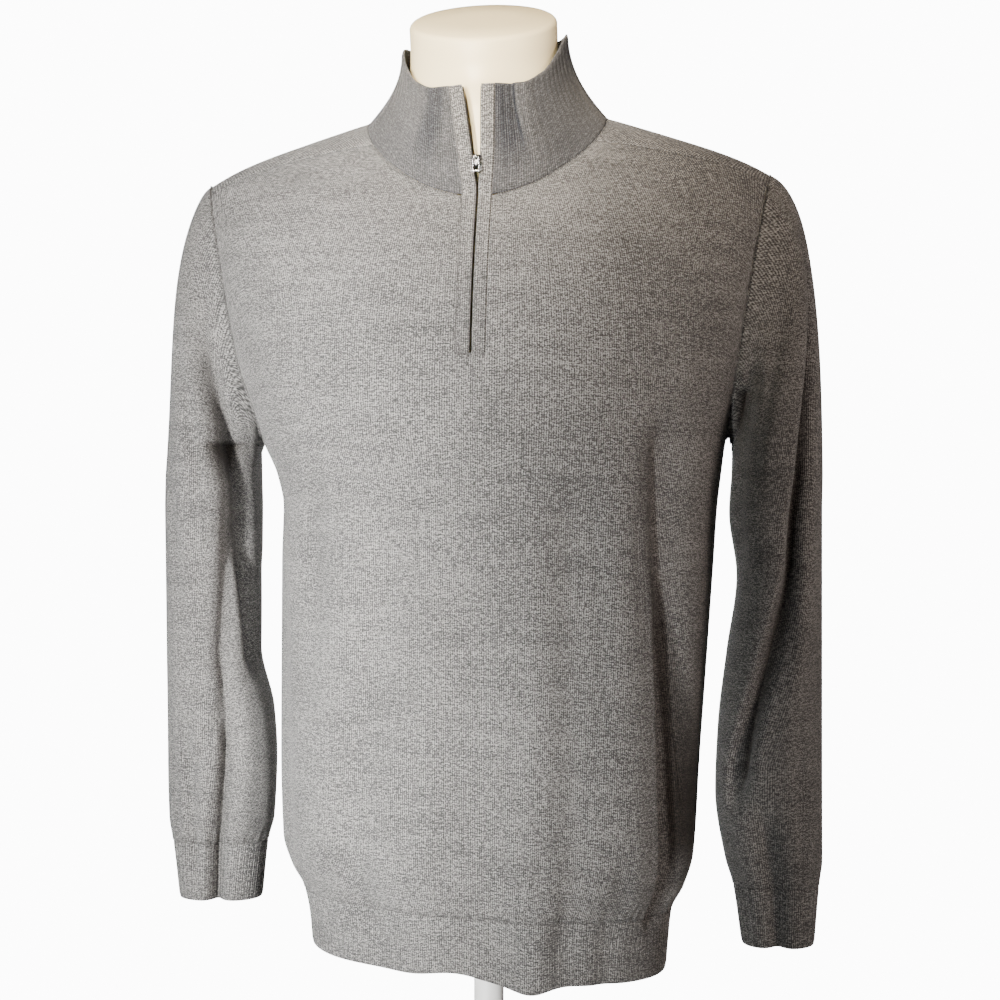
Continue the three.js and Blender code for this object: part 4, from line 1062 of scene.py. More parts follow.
@dataclass
class TrunkPanels:
    """The front and back panels and the waistband's two strips."""

    shape: BodyShape
    dresser: Dresser
    wall: float = 1.6
    rib_height: float = 0.15
    opening_foot: float = 1.27
    crease_shade: float = 0.045
    ledge: Ledge = Ledge(
        Curve((352, 427, 486, 538, 573, 617, 690), (159, 153.5, 146, 140.5, 135.5, 132, 127)), 7, 4, 30
    )
    front_creases: tuple[Crease, ...] = (
        Crease(((140, 720), (133, 640), (128, 560), (134, 480)), 2.2, 8),
        Crease(((88, 640), (94, 560), (97, 480), (92, 400)), 1.6, 7),
        Crease(((-120, 660), (-128, 590), (-122, 500)), 1.8, 9),
        Crease(((-150, 690), (-118, 712), (-80, 722)), 1.2, 9),
        Crease(((158, 700), (120, 716), (84, 722)), 1.4, 9),
        Crease(((-196, 780), (-176, 730), (-165, 690)), 2.0, 8),
        Crease(((196, 800), (180, 745), (168, 700)), 2.2, 8),
        Crease(((30, 560), (34, 470), (26, 380)), 1.2, 9),
        Crease(((-40, 620), (-46, 520), (-60, 430)), 1.2, 10),
        Crease(((111, 345), (113, 300), (112, 268)), 2.6, 5),
        Crease(((-100, 420), (-112, 350), (-118, 310)), 1.4, 8),
        Crease(((-20, 380), (-24, 330), (-20, 290)), 1.2, 7),
        Crease(((52, 360), (50, 320), (46, 280)), 1.4, 6),
        Crease(((20, 880), (60, 868), (110, 872)), 1.0, 8),
        Crease(((-22, 880), (-66, 866), (-112, 872)), 1.0, 8),
    )
    back_creases: tuple[Crease, ...] = (
        Crease(((-150, 760), (-110, 720), (-60, 708)), 1.8, 10),
        Crease(((150, 770), (112, 726), (58, 712)), 1.8, 10),
        Crease(((-96, 620), (-104, 520), (-98, 420)), 2.2, 9),
        Crease(((92, 640), (100, 540), (90, 430)), 2.2, 9),
        Crease(((-30, 600), (-24, 480), (-34, 380)), 1.6, 9),
        Crease(((40, 560), (46, 460), (38, 360)), 1.8, 9),
        Crease(((-60, 880), (0, 866), (60, 880)), 1.4, 9),
        Crease(((-120, 400), (-112, 340), (-118, 300)), 1.8, 7),
        Crease(((126, 400), (118, 340), (122, 300)), 1.8, 7),
    )

    def top_edge(self, arm: Arm, share: Array, cut: PanelCut) -> tuple[Array, Array]:
        """The panel's top edge: along the neck seam, and then along the shoulder seam.

        Args:
            arm: the arm on this side.
            share: places from 0, the centre, to 1, the armhole.
            cut: the panel.

        Returns:
            Distances from the middle and turns.
        """
        shape = self.shape
        angle = mix(cut.start, shape.corner_angle, np.minimum(1, share / shape.corner))
        neck_x, neck_y = shape.neck(angle, SEAM / 2)
        neck_x = np.maximum(neck_x, cut.inner)
        corner_x = shape.neck(np.array(shape.corner_angle), SEAM / 2)[0]
        further = clip01((share - shape.corner) / (1 - shape.corner))
        seam_x = mix(corner_x, arm.tip - SEAM / 2, further)
        at_neck = share <= shape.corner
        x = np.where(at_neck, neck_x, seam_x)
        y = np.where(
            at_neck,
            neck_y + cut.gap * np.minimum(1, share / shape.corner) ** 4,
            shape.shoulder_y(seam_x, arm) + cut.gap,
        )
        return arm.side.value * x, shape.turn_at(x, y)

    def points(self, cut: PanelCut, columns: Array, rows: Array) -> Array:
        """The panel's grid.

        Args:
            cut: the panel.
            columns: places from -1 to 1 across it.
            rows: 0 at the waistband seam, 1 at the underarm, 2 at the top edge; less is further down.

        Returns:
            Rows by columns of points.
        """
        shape = self.shape
        level = shape.underarm
        face = "front" if cut.front else "back"
        low_turn = -1.0 if cut.front else 1.0
        low_rows = rows[rows <= 1][:, None]
        high_rows = rows[rows > 1][:, None] - 1
        z = mix(shape.waist + SEAM / 2, level, low_rows)
        halves = []
        for arm, flank, chosen in (
            (RIGHT_ARM, "right", columns[columns < 0]),
            (LEFT_ARM, "left", columns[columns >= 0]),
        ):
            side = arm.side.value
            size = np.abs(chosen)
            share = np.maximum(0, (size - cut.centre) / (1 - cut.centre))[None, :]
            within = np.minimum(1, size / cut.centre)[None, :] if cut.centre else np.ones((1, len(size)))
            half = shape.reach(flank, z)
            half_top = shape.reach(flank, level)
            seam_angle, seam_top = (
                np.degrees(np.arccos((SEAM / 2 / reach) ** (SQUARENESS / 2)))
                for reach in (shape.reach(face, z), shape.reach(face, level))
            )
            between = mix(aside(cut.inner, half), seam_angle, share)
            angle = np.where(share > 0, between, aside(cut.inner * within, half))
            low = shape.ring(side * (angle if cut.front else 180 - angle), z)
            inner_top = aside(cut.inner, half_top)
            aside_top = np.radians(mix(inner_top, seam_top, share))
            top_x, top_turn = self.top_edge(arm, share, cut)
            turn = mix(low_turn, top_turn, high_rows)
            edge = arm.armhole(turn) - SEAM / 2
            low_x = half_top * np.sin(aside_top) ** (2 / SQUARENESS)
            low_share = (low_x - cut.inner) / (arm.armhole(low_turn) - SEAM / 2 - cut.inner)
            top_share = (np.abs(top_x) - cut.inner) / (arm.armhole(top_turn) - SEAM / 2 - cut.inner)
            across = np.where(share > 0.9999, 1.0, mix(low_share, top_share, high_rows**2))
            x = np.where(share > 0, mix(cut.inner, edge, across), cut.inner * within + 0 * edge)
            halves.append(np.concatenate([low, shape.yoke(side * x, turn)], 0))
        return np.concatenate(halves, 1)

    def columns(self, cut: PanelCut, fine: int) -> Array:
        """Places across a panel, with one at each edge of the zip opening and at the neck corners."""
        corner = mix(cut.centre, 1, self.shape.corner)
        even = np.linspace(0, 1, fine)
        crowded = even - 0.09 * np.sin(2 * np.pi * (even - 0.2)) - 0.09 * math.sin(0.4 * np.pi)
        crowded = (crowded - crowded[0]) / (crowded[-1] - crowded[0])
        side = np.concatenate([np.linspace(cut.centre, corner, fine)[1:-1], mix(corner, 1, crowded)])
        middle = np.linspace(-cut.centre, cut.centre, 9) if cut.centre else np.array([0.0])
        return np.concatenate([-side[::-1], middle, side])

    def panel(self, name: str, cut: PanelCut) -> bpy.types.Object:
        """Builds one large panel with its creases.

        Args:
            name: the piece's name.
            cut: the panel.

        Returns:
            The new object.
        """
        columns = self.columns(cut, 56)
        foot = self.opening_foot
        rows = np.concatenate(
            [np.linspace(0, 1, 92)[:-1], np.linspace(1, foot, 17)[:-1], np.linspace(foot, 2, 48)]
        )
        points = self.points(cut, columns, rows)
        if not cut.front:
            points = points[:, ::-1]
        creases = self.front_creases if cut.front else self.back_creases
        edges = clip01((points[..., 2] - self.shape.waist) / 14)
        relief = -sum(crease.press(points[..., 0], points[..., 2]) for crease in creases) * edges
        # Painted shade in the creases, growing with their depth, and a painted shadow beside the ledge.
        painted_shade = -self.crease_shade * relief
        if cut.front:
            x, z = points[..., 0], points[..., 2]
            relief = relief - self.ledge.press(x, z)
            painted_shade = painted_shade + self.ledge.shade(x, z)
        pucker = 0.55 * np.sin(np.cumsum(np.full(len(columns), 0.42)) * 2.1)[None, :]
        relief = relief + pucker * clip01(1 - edges)
        keep = None
        if cut.front:
            centre = (np.abs(columns[:-1] + columns[1:]) / 2 < cut.centre)[None, :]
            above = (rows[:-1] >= foot - 1e-9)[:, None]
            keep = ~(centre & above)
        return Shells.cloth(
            name, points, self.wall, keep=keep, relief=relief * self.fade(points, cut), painted_shade=painted_shade
        )

    @staticmethod
    def fade(points: Array, cut: PanelCut) -> Array:
        """Keeps a panel's edges at rest, so that its neighbours still meet them."""
        rows, columns = points.shape[:2]
        across = np.minimum(np.arange(columns), np.arange(columns)[::-1])[None, :]
        up = np.arange(rows)[::-1][:, None]
        return clip01(across / 6) * clip01(up / 5)

    def waistband(self, name: str, cut: PanelCut) -> bpy.types.Object:
        """Builds one strip of the waistband, with upright ribs and a rounded lower edge.

        Args:
            name: the piece's name.
            cut: the panel above it.

        Returns:
            The new object.
        """
        shape = self.shape
        columns = self.columns(cut, 220)
        ends = np.array([shape.hem, shape.waist - SEAM])
        bottom, top = (ends - shape.waist - SEAM / 2) / (shape.underarm - shape.waist - SEAM / 2)
        rows = np.linspace(bottom, top, 14)
        points = self.points(cut, columns, rows)
        if not cut.front:
            points = points[:, ::-1]
        else:
            low = np.linspace(1, 0, len(rows))[:, None] ** 1.5
            x = points[..., 0]
            lobe = 7.5 * bell(x - 44, 19) - 2.5 * bell(x + 12, 26)
            ripple = 1.3 * np.sin(x / 11.5) * clip01(1 - np.abs(x) / 140)
            points[..., 2] -= (lobe + ripple) * low
        return Shells.cloth(name, points, self.wall + 0.3, relief=ribbed(points, False, self.rib_height))

    def build(self) -> None:
        """Builds all four pieces and dresses them in their knits."""
        knit = self.dresser.finishes.knit
        rib = self.dresser.finishes.rib
        front = self.panel("front_cloth", FRONT_CUT)
        self.dresser.dress(front, knit, "knit", ("front_panel",))
        back = self.panel("back_cloth", BACK_CUT)
        self.dresser.dress(back, knit, "knit", ("back_panel",))
        for name, cut, part, rest in (
            ("front_waistband_cloth", FRONT_CUT, "waistband_front", "front_panel"),
            ("back_waistband_cloth", BACK_CUT, "waistband_back", "back_panel"),
        ):
            band = self.dresser.dress(self.waistband(name, cut), rib, "knit", (part,))


@dataclass
class Sleeve:
    """One empty sleeve with its cuff."""

    shape: BodyShape
    dresser: Dresser
    arm: Arm
    cuff_top: float
    heights: tuple[float, ...]
    outer: tuple[float, ...]
    inner: tuple[float, ...]
    front: tuple[float, ...]
    back: tuple[float, ...]
    folds: tuple[Fold, ...]
    small_folds: tuple[Fold, ...]
    dents: tuple[Dent, ...] = ()
    # How much painted shade the deep folds get, and the fold depths from and over which it grows.
    shade: float = 0.5
    shade_from: float = 7
    shade_over: float = 11
    wall: float = 1.6
    cuff_height: float = 47
    top: float = 640
    crowding: float = 0.5
    rib_height: float = 0.16

    def reach(self, name: str, z: Array) -> Array:
        """Reads one of the tube's four reaches at heights z."""
        return Curve(self.heights, getattr(self, name))(z)

    def middle(self, z: Array) -> tuple[Array, Array]:
        """The middle of the tube at heights z."""
        x = (self.reach("outer", z) + self.reach("inner", z)) / 2
        return self.arm.side.value * x, (self.reach("front", z) + self.reach("back", z)) / 2

    def ring(self, angle: Array, z: Array) -> Array:
        """A level, nearly oval ring of the tube, before its folds."""
        x, y = self.middle(z)
        half_x = (self.reach("outer", z) - self.reach("inner", z)) / 2
        half_y = (self.reach("back", z) - self.reach("front", z)) / 2
        turned = np.radians(angle)
        return np.stack(
            [
                x + self.arm.side.value * half_x * signed_power(np.cos(turned), 0.9),
                y - half_y * signed_power(np.sin(turned), 0.9),
                z + 0 * turned,
            ],
            -1,
        )

    def cap(self, angle: Array, share: Array) -> Array:
        """The cap: a cubic curve for each angle from the armhole round to the top ring of the tube."""
        side = self.arm.side.value
        turn = np.where(angle <= 180, -angle / 180, (360 - angle) / 180)
        start = self.shape.yoke(side * self.arm.armhole(turn), turn)
        high = (1 + np.cos(np.radians(angle))) / 2
        start[..., 0] += side * mix(1.1, 0.6, high)
        end = self.ring(angle, np.full(angle.shape, self.top, float))
        length = np.linalg.norm(end - start, axis=-1)
        leave = np.stack(
            [side * (0.22 + 0.72 * high), -0.15 * np.sin(np.radians(angle)), -(1 - 0.58 * high)], -1
        )
        turning = length * mix(0.36, self.arm.shoulder, high * high)
        first = start + unit(leave) * turning[..., None]
        second = end.copy()
        second[..., 0] -= side * self.arm.slack * high**4
        second[..., 2] += 0.36 * length
        return cubic(start, first, second, end, share)

    def points(self, around: Array, along: Array, bottom: float) -> tuple[Array, Array]:
        """The sleeve's grid.

        Args:
            around: places round the tube in degrees, crowded along the main fold.
            along: 0 at the armhole, 1 at the top ring, 2 at the bottom.
            bottom: height of the lower end.

        Returns:
            The points, moved in by the folds, and how much painted shade each gets in the folds and under the
            dents.
        """
        main = self.folds[0]
        guide = np.where(along < 1, mix(800, self.top, along), mix(self.top, bottom, along - 1))
        fold = main.place(guide)
        crowd = self.crowding * clip01(along / 0.5)
        angle = (fold + around - crowd * np.degrees(np.sin(np.radians(around)))) % 360
        z = mix(self.top, bottom, np.maximum(0, along - 1))
        base = np.where((along < 1)[..., None], self.cap(angle, np.minimum(along, 1)), self.ring(angle, z))
        clear = np.where(along < 1, clip01(along / 0.6), 1)
        depth = sum(f.press(angle, base[..., 2]) for f in self.folds) * clear
        depth = depth + sum(f.press(angle, base[..., 2], SMALL_FOLD_FADE) for f in self.small_folds) * clear
        near = np.where(along < 1, clip01((along - 0.02) / 0.2), 1)
        dented = sum(d.press(angle, base[..., 2]) for d in self.dents) * near
        # Painted shade grows with the fold depth, and is darkest under the dents.
        pressed = clip01((depth - self.shade_from) / self.shade_over) ** 1.4
        painted_shade = clip01(pressed * self.shade + dented / self.shade_from)
        depth = depth + dented
        x, y = self.middle(base[..., 2])
        to_x = x - base[..., 0]
        to_y = y - base[..., 1]
        size = np.maximum(np.hypot(to_x, to_y), 1e-9)
        depth = np.minimum(depth, 0.62 * size)
        moved = base.copy()
        moved[..., 0] += to_x / size * depth
        moved[..., 1] += to_y / size * depth
        return moved, painted_shade

    def evenly_round(self, count: int) -> Array:
        """Places round the sleeve, in the order that turns the faces outwards on its side."""
        places = np.linspace(0, 360, count + 1)[:-1]
        return places[::-1] if self.arm.side is Side.LEFT else places

    def build(self, name: str) -> None:
        """Builds the sleeve and the cuff, and dresses them in their knits.

        Args:
            name: "right" or "left".
        """
        around = self.evenly_round(180)
        along = np.concatenate([np.linspace(2, 1, 88)[:-1], np.linspace(1, 0, 52)])
        grid_around, grid_along = np.meshgrid(around, along)
        bottom = self.cuff_top + SEAM / 2
        points, painted_shade = self.points(grid_around, grid_along, bottom)
        pucker = 0.5 * np.sin(np.radians(around) * 23)[None, :]
        relief = pucker * clip01(1 - (points[..., 2] - bottom) / 14)
        sleeve = Shells.cloth(
            f"{name}_sleeve_cloth", points, self.wall, closed=True, relief=relief, painted_shade=painted_shade
        )
        self.dresser.dress(sleeve, self.dresser.finishes.knit, "knit", (f"sleeve_{name}",))
        top = self.cuff_top - SEAM / 2
        rows = np.linspace(self.cuff_top - self.cuff_height, top, 14)
        grid_around, grid_z = np.meshgrid(self.evenly_round(400), rows)
        grid_along = 1 + (self.top - grid_z) / (self.top - top)
        points, painted_shade = self.points(grid_around, grid_along, top)
        ribs = ribbed(points, True, self.rib_height)
        cuff = Shells.cloth(
            f"{name}_cuff_cloth", points, self.wall + 0.2, closed=True, relief=ribs, painted_shade=painted_shade
        )
        self.dresser.dress(cuff, self.dresser.finishes.rib, "knit", (f"cuff_{name}",))


def right_sleeve(shape: BodyShape, dresser: Dresser) -> Sleeve:
    """The wearer's right sleeve, with the photograph's folds."""
    return Sleeve(
        shape,
        dresser,
        RIGHT_ARM,
        cuff_top=344,
        heights=(297, 344, 362, 410, 450, 500, 560, 610, 640),
        outer=(253, 258, 261, 262, 262, 262, 262, 262, 261),
        inner=(186, 181, 176, 174, 177, 189, 189, 189, 190),
        front=(-35, -42, -46, -50, -55, -60, -66, -71, -74),
        back=(22, 27, 30, 35, 42, 50, 57, 62, 65),
        folds=(
            Fold(590, 290, 128, 92, 8, 13, before=0.7, after=1.2),
            Fold(650, 560, 148, 156, 4, 15),
            Fold(425, 290, 107, 92, 7, 9),
            Fold(720, 600, 128, 150, 13, 18),
            Fold(410, 345, 66, 70, 4, 9),
            Fold(720, 420, 262, 280, 11, 15),
        ),
        small_folds=(
            Fold(564, 500, 153, 162, 17, 13, before=0.6, after=1.3),
            Fold(760, 640, 70, 96, 2.4, 9),
            Fold(620, 500, 60, 74, 1.8, 8),
            Fold(480, 400, 118, 70, 2.2, 7),
            Fold(440, 360, 40, 48, 1.6, 8),
            Fold(560, 470, 210, 230, 3, 10),
            Fold(470, 380, 250, 236, 3, 10),
            Fold(800, 700, 300, 280, 2.4, 11),
        ),
        dents=(Dent(667, 628, 134, 26, 13),),
    )


def left_sleeve(shape: BodyShape, dresser: Dresser) -> Sleeve:
    """The wearer's left sleeve, with the photograph's folds."""
    return Sleeve(
        shape,
        dresser,
        LEFT_ARM,
        cuff_top=317,
        heights=(270, 317, 336, 390, 440, 500, 560, 610, 640),
        outer=(260, 264, 266.5, 266.5, 266.5, 266.5, 266.5, 266.5, 267),
        inner=(203, 196, 190, 182, 184, 191, 199, 193, 195),
        front=(-40, -44, -47, -50, -55, -61, -66, -71, -74),
        back=(18, 22, 26, 33, 41, 50, 57, 62, 65),
        folds=(
            Fold(
                800, 415, 42, 132, 20, 13,
                Curve((415, 502, 625, 717, 800), (132, 98, 68, 54, 42)), before=1.5, after=0.5,
            ),
            Fold(700, 600, 140, 150, 8, 16),
            Fold(350, 262, 96, 92, 11, 14),
            Fold(700, 430, 280, 262, 11, 15),
        ),
        small_folds=(
            Fold(770, 650, 96, 118, 2.6, 9),
            Fold(640, 520, 60, 84, 2.2, 8),
            Fold(520, 420, 70, 92, 2.2, 8),
            Fold(430, 350, 60, 56, 1.8, 8),
            Fold(560, 460, 216, 236, 3, 10),
            Fold(460, 370, 244, 226, 3, 10),
            Fold(800, 700, 300, 284, 2.4, 11),
        ),
        dents=(Dent(708, 640, 168, 16, 12),),
        shade=0.75,
    )


@dataclass
class Collar:
    """The ribbed mock collar, open in a V at the zip."""

    shape: BodyShape
    dresser: Dresser
    wall: float = 1.8
    ribs: int = 236
    rib_height: float = 0.9
    half: float = 66
    middle: float = -29
    depth: float = 65
    rim_drop: float = 9
    rim: Curve = Curve((0, 30, 50, 65, 80, 100, 140, 180), (938, 940, 951, 967, 983, 991, 990, 987))
    lean: Curve = Curve((0, 30, 50, 65, 80, 100, 140, 180), (-0.12, 0.05, 0.35, 0.55, 0.68, 0.68, 0.5, 0.34))
    right_edge: Curve = Curve((730, 860, 870, 882, 895, 915, 940), (1, 1, 2.3, 3.6, 5.2, 7.9, 11.4))
    left_edge: Curve = Curve((730, 860, 870, 882, 895, 915, 940), (1, 1, 1.9, 2.8, 3.4, 3.8, 4.4))

    def point(self, angle: Array, share: Array) -> Array:
        """A cubic curve for each angle, from the neck seam up to the rim's oval."""
        angle, share = np.broadcast_arrays(np.asarray(angle, float), np.asarray(share, float))
        away = np.abs(angle)
        turned = np.radians(angle)
        seam_x, seam_y = self.shape.neck(angle, -0.45)
        start = self.shape.yoke(seam_x, self.shape.turn_at(np.abs(seam_x), seam_y))
        end = np.stack(
            [
                self.half * np.sin(turned),
                self.middle - self.depth * np.cos(turned),
                self.rim(away) - np.where(angle < 0, self.rim_drop * np.sin(turned) ** 2, 0),
            ],
            -1,
        )
        lead = np.linalg.norm(end - start, axis=-1) * 0.36
        lean = self.lean(away)
        leave = np.stack([-np.sin(turned) * lean, np.cos(turned) * lean, np.full(lean.shape, 0.75)], -1)
        first = start + unit(leave) * lead[..., None]
        second = end + np.stack([0 * lead, 0.1 * lead, -lead], -1)
        moved = cubic(start, first, second, end, share)
        moved[..., 1] += self.pleats(angle) * clip01((share - 0.12) / 0.6) ** 1.3
        return moved

    @staticmethod
    def pleats(angle: Array) -> Array:
        """How far the collar falls back beside the opening: slowly towards a line, and sharply up again."""
        left = clip01((angle - 9) / 14.5) ** 1.4 * clip01((27.5 - angle) / 4)
        right = clip01((angle + 38) / 19) ** 1.2 * mix(1, 0.45, clip01((angle + 19) / 9))
        return 4.6 * left + 3.6 * right * clip01((2 - angle) / 12)

    def edge(self, side: Side) -> Curve:
        """The zip opening's edge on one side."""
        return self.right_edge if side is Side.RIGHT else self.left_edge

    def angle_at(self, x: Array, share: Array) -> Array:
        """The angle at which the collar has a given x, found by halving."""
        x, share = np.broadcast_arrays(np.asarray(x, float), np.asarray(share, float))
        return bisect(-60, 60, x.shape, lambda angle: self.point(angle, share)[..., 0] < x)

    def share_at(self, z: Array) -> Array:
        """The share of the collar's height at which its centre front has a given z."""
        z = np.asarray(z, float)
        zero = np.zeros(z.shape)
        return bisect(0, 1, z.shape, lambda share: self.point(zero, share)[..., 2] < z)

    @property
    def base_z(self) -> float:
        """Height of the collar's foot at the centre front."""
        return float(self.point(np.array(0.0), np.array(0.0))[2])

    @property
    def top_z(self) -> float:
        """Height of the collar's rim at the centre front."""
        return float(self.point(np.array(0.0), np.array(1.0))[2])

    def front_line(self, x: Array, z: Array) -> Array:
        """Points on the run up the centre front: on the front panel first, then on the collar."""
        x, z = np.broadcast_arrays(np.asarray(x, float), np.asarray(z, float))
        low = self.shape.front_place(x, np.minimum(z, self.base_z))
        share = self.share_at(np.maximum(z, self.base_z))
        high = self.point(self.angle_at(x, share), share)
        return np.where((z < self.base_z)[..., None], low, high)

    def build(self) -> None:
        """Builds the collar with fine ribs, which show most beside the opening, and a rolled rim."""
        shares = np.linspace(0, 1, 30)
        spread = 11.5 - 1.0 + SEAM / 2
        z = mix(self.base_z, self.top_z, shares)
        first = self.angle_at(spread + self.left_edge(z), shares)
        last = 360 + self.angle_at(-spread - self.right_edge(z), shares)
        across = np.linspace(0, 1, 4 * self.ribs + 1)[None, :]
        angle = mix(first[:, None], last[:, None], across)
        angle = np.where(angle > 180, angle - 360, angle)
        share = shares[:, None]
        points = self.point(angle, share)
        ridge = clip01(np.cos(np.arange(4 * self.ribs + 1) * np.pi / 2))[None, :]
        # The ribs stand clearest about 22 degrees from the centre.
        clear = 0.3 + 0.7 * bell(np.abs(angle) - 22, 13) * clip01(share * 2.2)
        ribs = self.rib_height * clear * ridge
        # A soft ridge beside the left fold, and a soft trough further round on the right.
        bulge = 1.5 * bell(angle - 34, 5) * share**1.5
        soft = 0.8 * bell(angle + 52, 9) * np.sin(np.pi * share)
        # Painted shadow where the collar falls back, ending at a painted dark fold line on the left, and
        # painted shade on the side turned away from the light.
        painted_shadow_zone = np.exp(-(((angle - 18) / 7.5) ** 4)) + 0.8 * np.exp(-(((angle + 29) / 7.5) ** 4))
        painted_shadow_zone = painted_shadow_zone * clip01((share - 0.12) / 0.35)
        line = bell(angle - 25.4 + 1.5 * (1 - share), 0.9) * clip01((share - 0.25) / 0.4)
        painted_side_shade = clip01((angle - 30) / 12) * clip01((120 - angle) / 40)
        painted_shade = painted_shadow_zone * (0.9 - 0.7 * ridge) + 0.95 * line + 0.32 * painted_side_shade
        rolled = -0.7 * clip01((share - 0.97) / 0.03)
        collar = Shells.cloth(
            "collar_cloth", points, self.wall, relief=ribs + bulge - soft + rolled, painted_shade=painted_shade
        )
        self.dresser.dress(collar, self.dresser.finishes.collar_rib, "knit", ("collar",))


@dataclass
class Zip:
    """The bands, tapes, coils, slider and pull of the quarter zip."""

    collar: Collar
    dresser: Dresser
    foot_turn: float = 0.8774
    width: float = 10.45
    slider_z: float = 880
    slider_half: float = 3.8
    slider_depth: float = 3.0
    slider_height: float = 9.6
    bail_out: float = 4.0
    bail_wire: float = 0.55
    eye_up: float = 2.4
    eye_size: tuple[float, float] = (1.55, 1.75)
    pull_half: float = 2.6
    pull_length: float = 10.8
    pull_wire: float = 0.56
    pivot_y: float = -91.08

    @property
    def foot_z(self) -> float:
        """Height of the zip's lower end."""
        return float(self.collar.shape.section(np.array(0.0), np.array(-self.foot_turn))[1])

    def strip(
        self, side: Side, columns: Array, bottom: float, top: float, rows: int
    ) -> tuple[Array, Array, Array]:
        """A grid that runs up one edge of the opening.

        Args:
            side: which edge.
            columns: distances from the edge.
            bottom: lower end.
            top: upper end.
            rows: number of rows.

        Returns:
            Points, their normals, and the shares of the height.
        """
        share = np.linspace(0, 1, rows)
        z = mix(bottom, top, share)
        if side is Side.RIGHT:
            columns = columns[::-1]
        x = side.value * (self.collar.edge(side)(z)[:, None] + columns[None, :])
        points = self.collar.front_line(x, z[:, None] + 0 * x)
        return points, Shells.normals(points, False), share

    def band(self, side: Side, name: str) -> None:
        """One knitted band, with a rounded fold at the opening, a pressed outer edge and painted shadow along
        that edge.
        """
        columns = np.linspace(0, self.width, 17)
        points, normal, share = self.strip(
            side, columns, self.foot_z + 0.1, self.collar.top_z - 0.4, 200
        )
        place = columns if side is Side.LEFT else columns[::-1]
        across = place[None, :] / self.width
        rounding = -0.9 * clip01(1 - across / 0.12) ** 2
        outer_edge = -0.45 * clip01((across - 0.9) / 0.1)
        groove = -0.3 * bell(across - 0.72, 0.06)
        ends = -0.45 * clip01((share - 0.985) / 0.015)[:, None]
        # Painted shadow along the band's outer edge, strong on the left band and faint on the right.
        shadow = (0.9 if side is Side.LEFT else 0.25) * clip01((across - 0.88) / 0.1)
        piece = Shells.cloth(
            f"{name}_band_cloth",
            points + normal * 0.5,
            1.6,
            relief=rounding + outer_edge + groove + ends,
            painted_shade=shadow + 0 * share[:, None],
        )
        self.dresser.dress(piece, self.dresser.finishes.knit, "knit", (f"placket_{name}",))

    def tape(self, side: Side, name: str) -> None:
        """One zip tape behind its band, and the dark coil along its edge."""
        columns = np.linspace(-0.42, 9, 8)
        points, normal, _ = self.strip(side, columns, self.foot_z + 2.7, self.collar.top_z - 1.9, 160)
        piece = Shells.cloth(f"{name}_tape_cloth", points - normal * 1.7, 0.8)
        self.dresser.dress(piece, self.dresser.finishes.tape, "zip_tape", (f"zip_tape_{name}",))
        edge = np.array([-0.25, 0.25])
        points, normal, _ = self.strip(side, edge, self.foot_z + 4, self.collar.top_z - 4, 640)
        path = points.mean(1) - normal.mean(1) * 1.0
        run = run_along(path)
        radius = 0.42 + 0.2 * np.cos(2 * np.pi * run / 1.3 + (0 if side is Side.LEFT else np.pi))
        coil = Shells.joined(f"{name}_zip_coil", [Shells.tube(path, radius, 8)])
        self.dresser.dress(coil, self.dresser.finishes.tape, "zip_tape")

    @property
    def slider_front(self) -> float:
        """How far back the slider's front face stands, so that the pull turns on its hinge line."""
        return self.pivot_y + self.bail_out / 2

    @property
    def eye(self) -> tuple[float, float]:
        """The middle of the bail's eye, which the pull turns round: its y and z."""
        return self.slider_front - self.bail_out / 2, self.slider_z + self.eye_up

    def slider(self) -> None:
        """The slider: a domed body with flared shoulders, and the bail in front of it."""
        front = self.slider_front
        rows = np.linspace(-1, 1, 41)
        turn = circle(48)
        waist = self.slider_half * (0.78 + 0.22 * np.tanh(2.4 * (rows + 0.15)))
        end = (1 - np.abs(rows) ** 8) ** (1 / 3)
        depth = self.slider_depth / 2 * (0.86 + 0.14 * np.cos(rows * np.pi / 2)) * end
        ring_x = waist[:, None] * end[:, None] * signed_power(np.cos(turn), 0.55)[None, :]
        ring_y = front + self.slider_depth / 2 - depth[:, None] * signed_power(np.sin(turn), 0.6)[None, :]
        ring_z = self.slider_z + rows[:, None] * self.slider_height / 2 + 0 * ring_x
        body = Shells.rings(np.stack([ring_x, ring_y, ring_z], 2), inwards=True)
        eye_y, eye_z = self.eye
        out, up = self.eye_size
        arc = np.linspace(0, np.pi, 25) + np.pi / 2
        path = np.stack(
            [
                np.zeros(27),
                np.concatenate([[front + 0.6], eye_y + out * np.cos(arc), [front + 0.6]]),
                np.concatenate([[eye_z + up], eye_z + up * np.sin(arc), [eye_z - up]]),
            ],
            1,
        )
        bail = Shells.tube(path, self.bail_wire, 10)
        finishes = self.dresser.finishes
        for name, part, finish in (
            ("slider_body", body, finishes.dark_metal),
            ("slider_bail", bail, finishes.metal),
        ):
            self.dresser.dress(Shells.joined(name, [part]), finish, "zip_metal", ("zip_slider",))

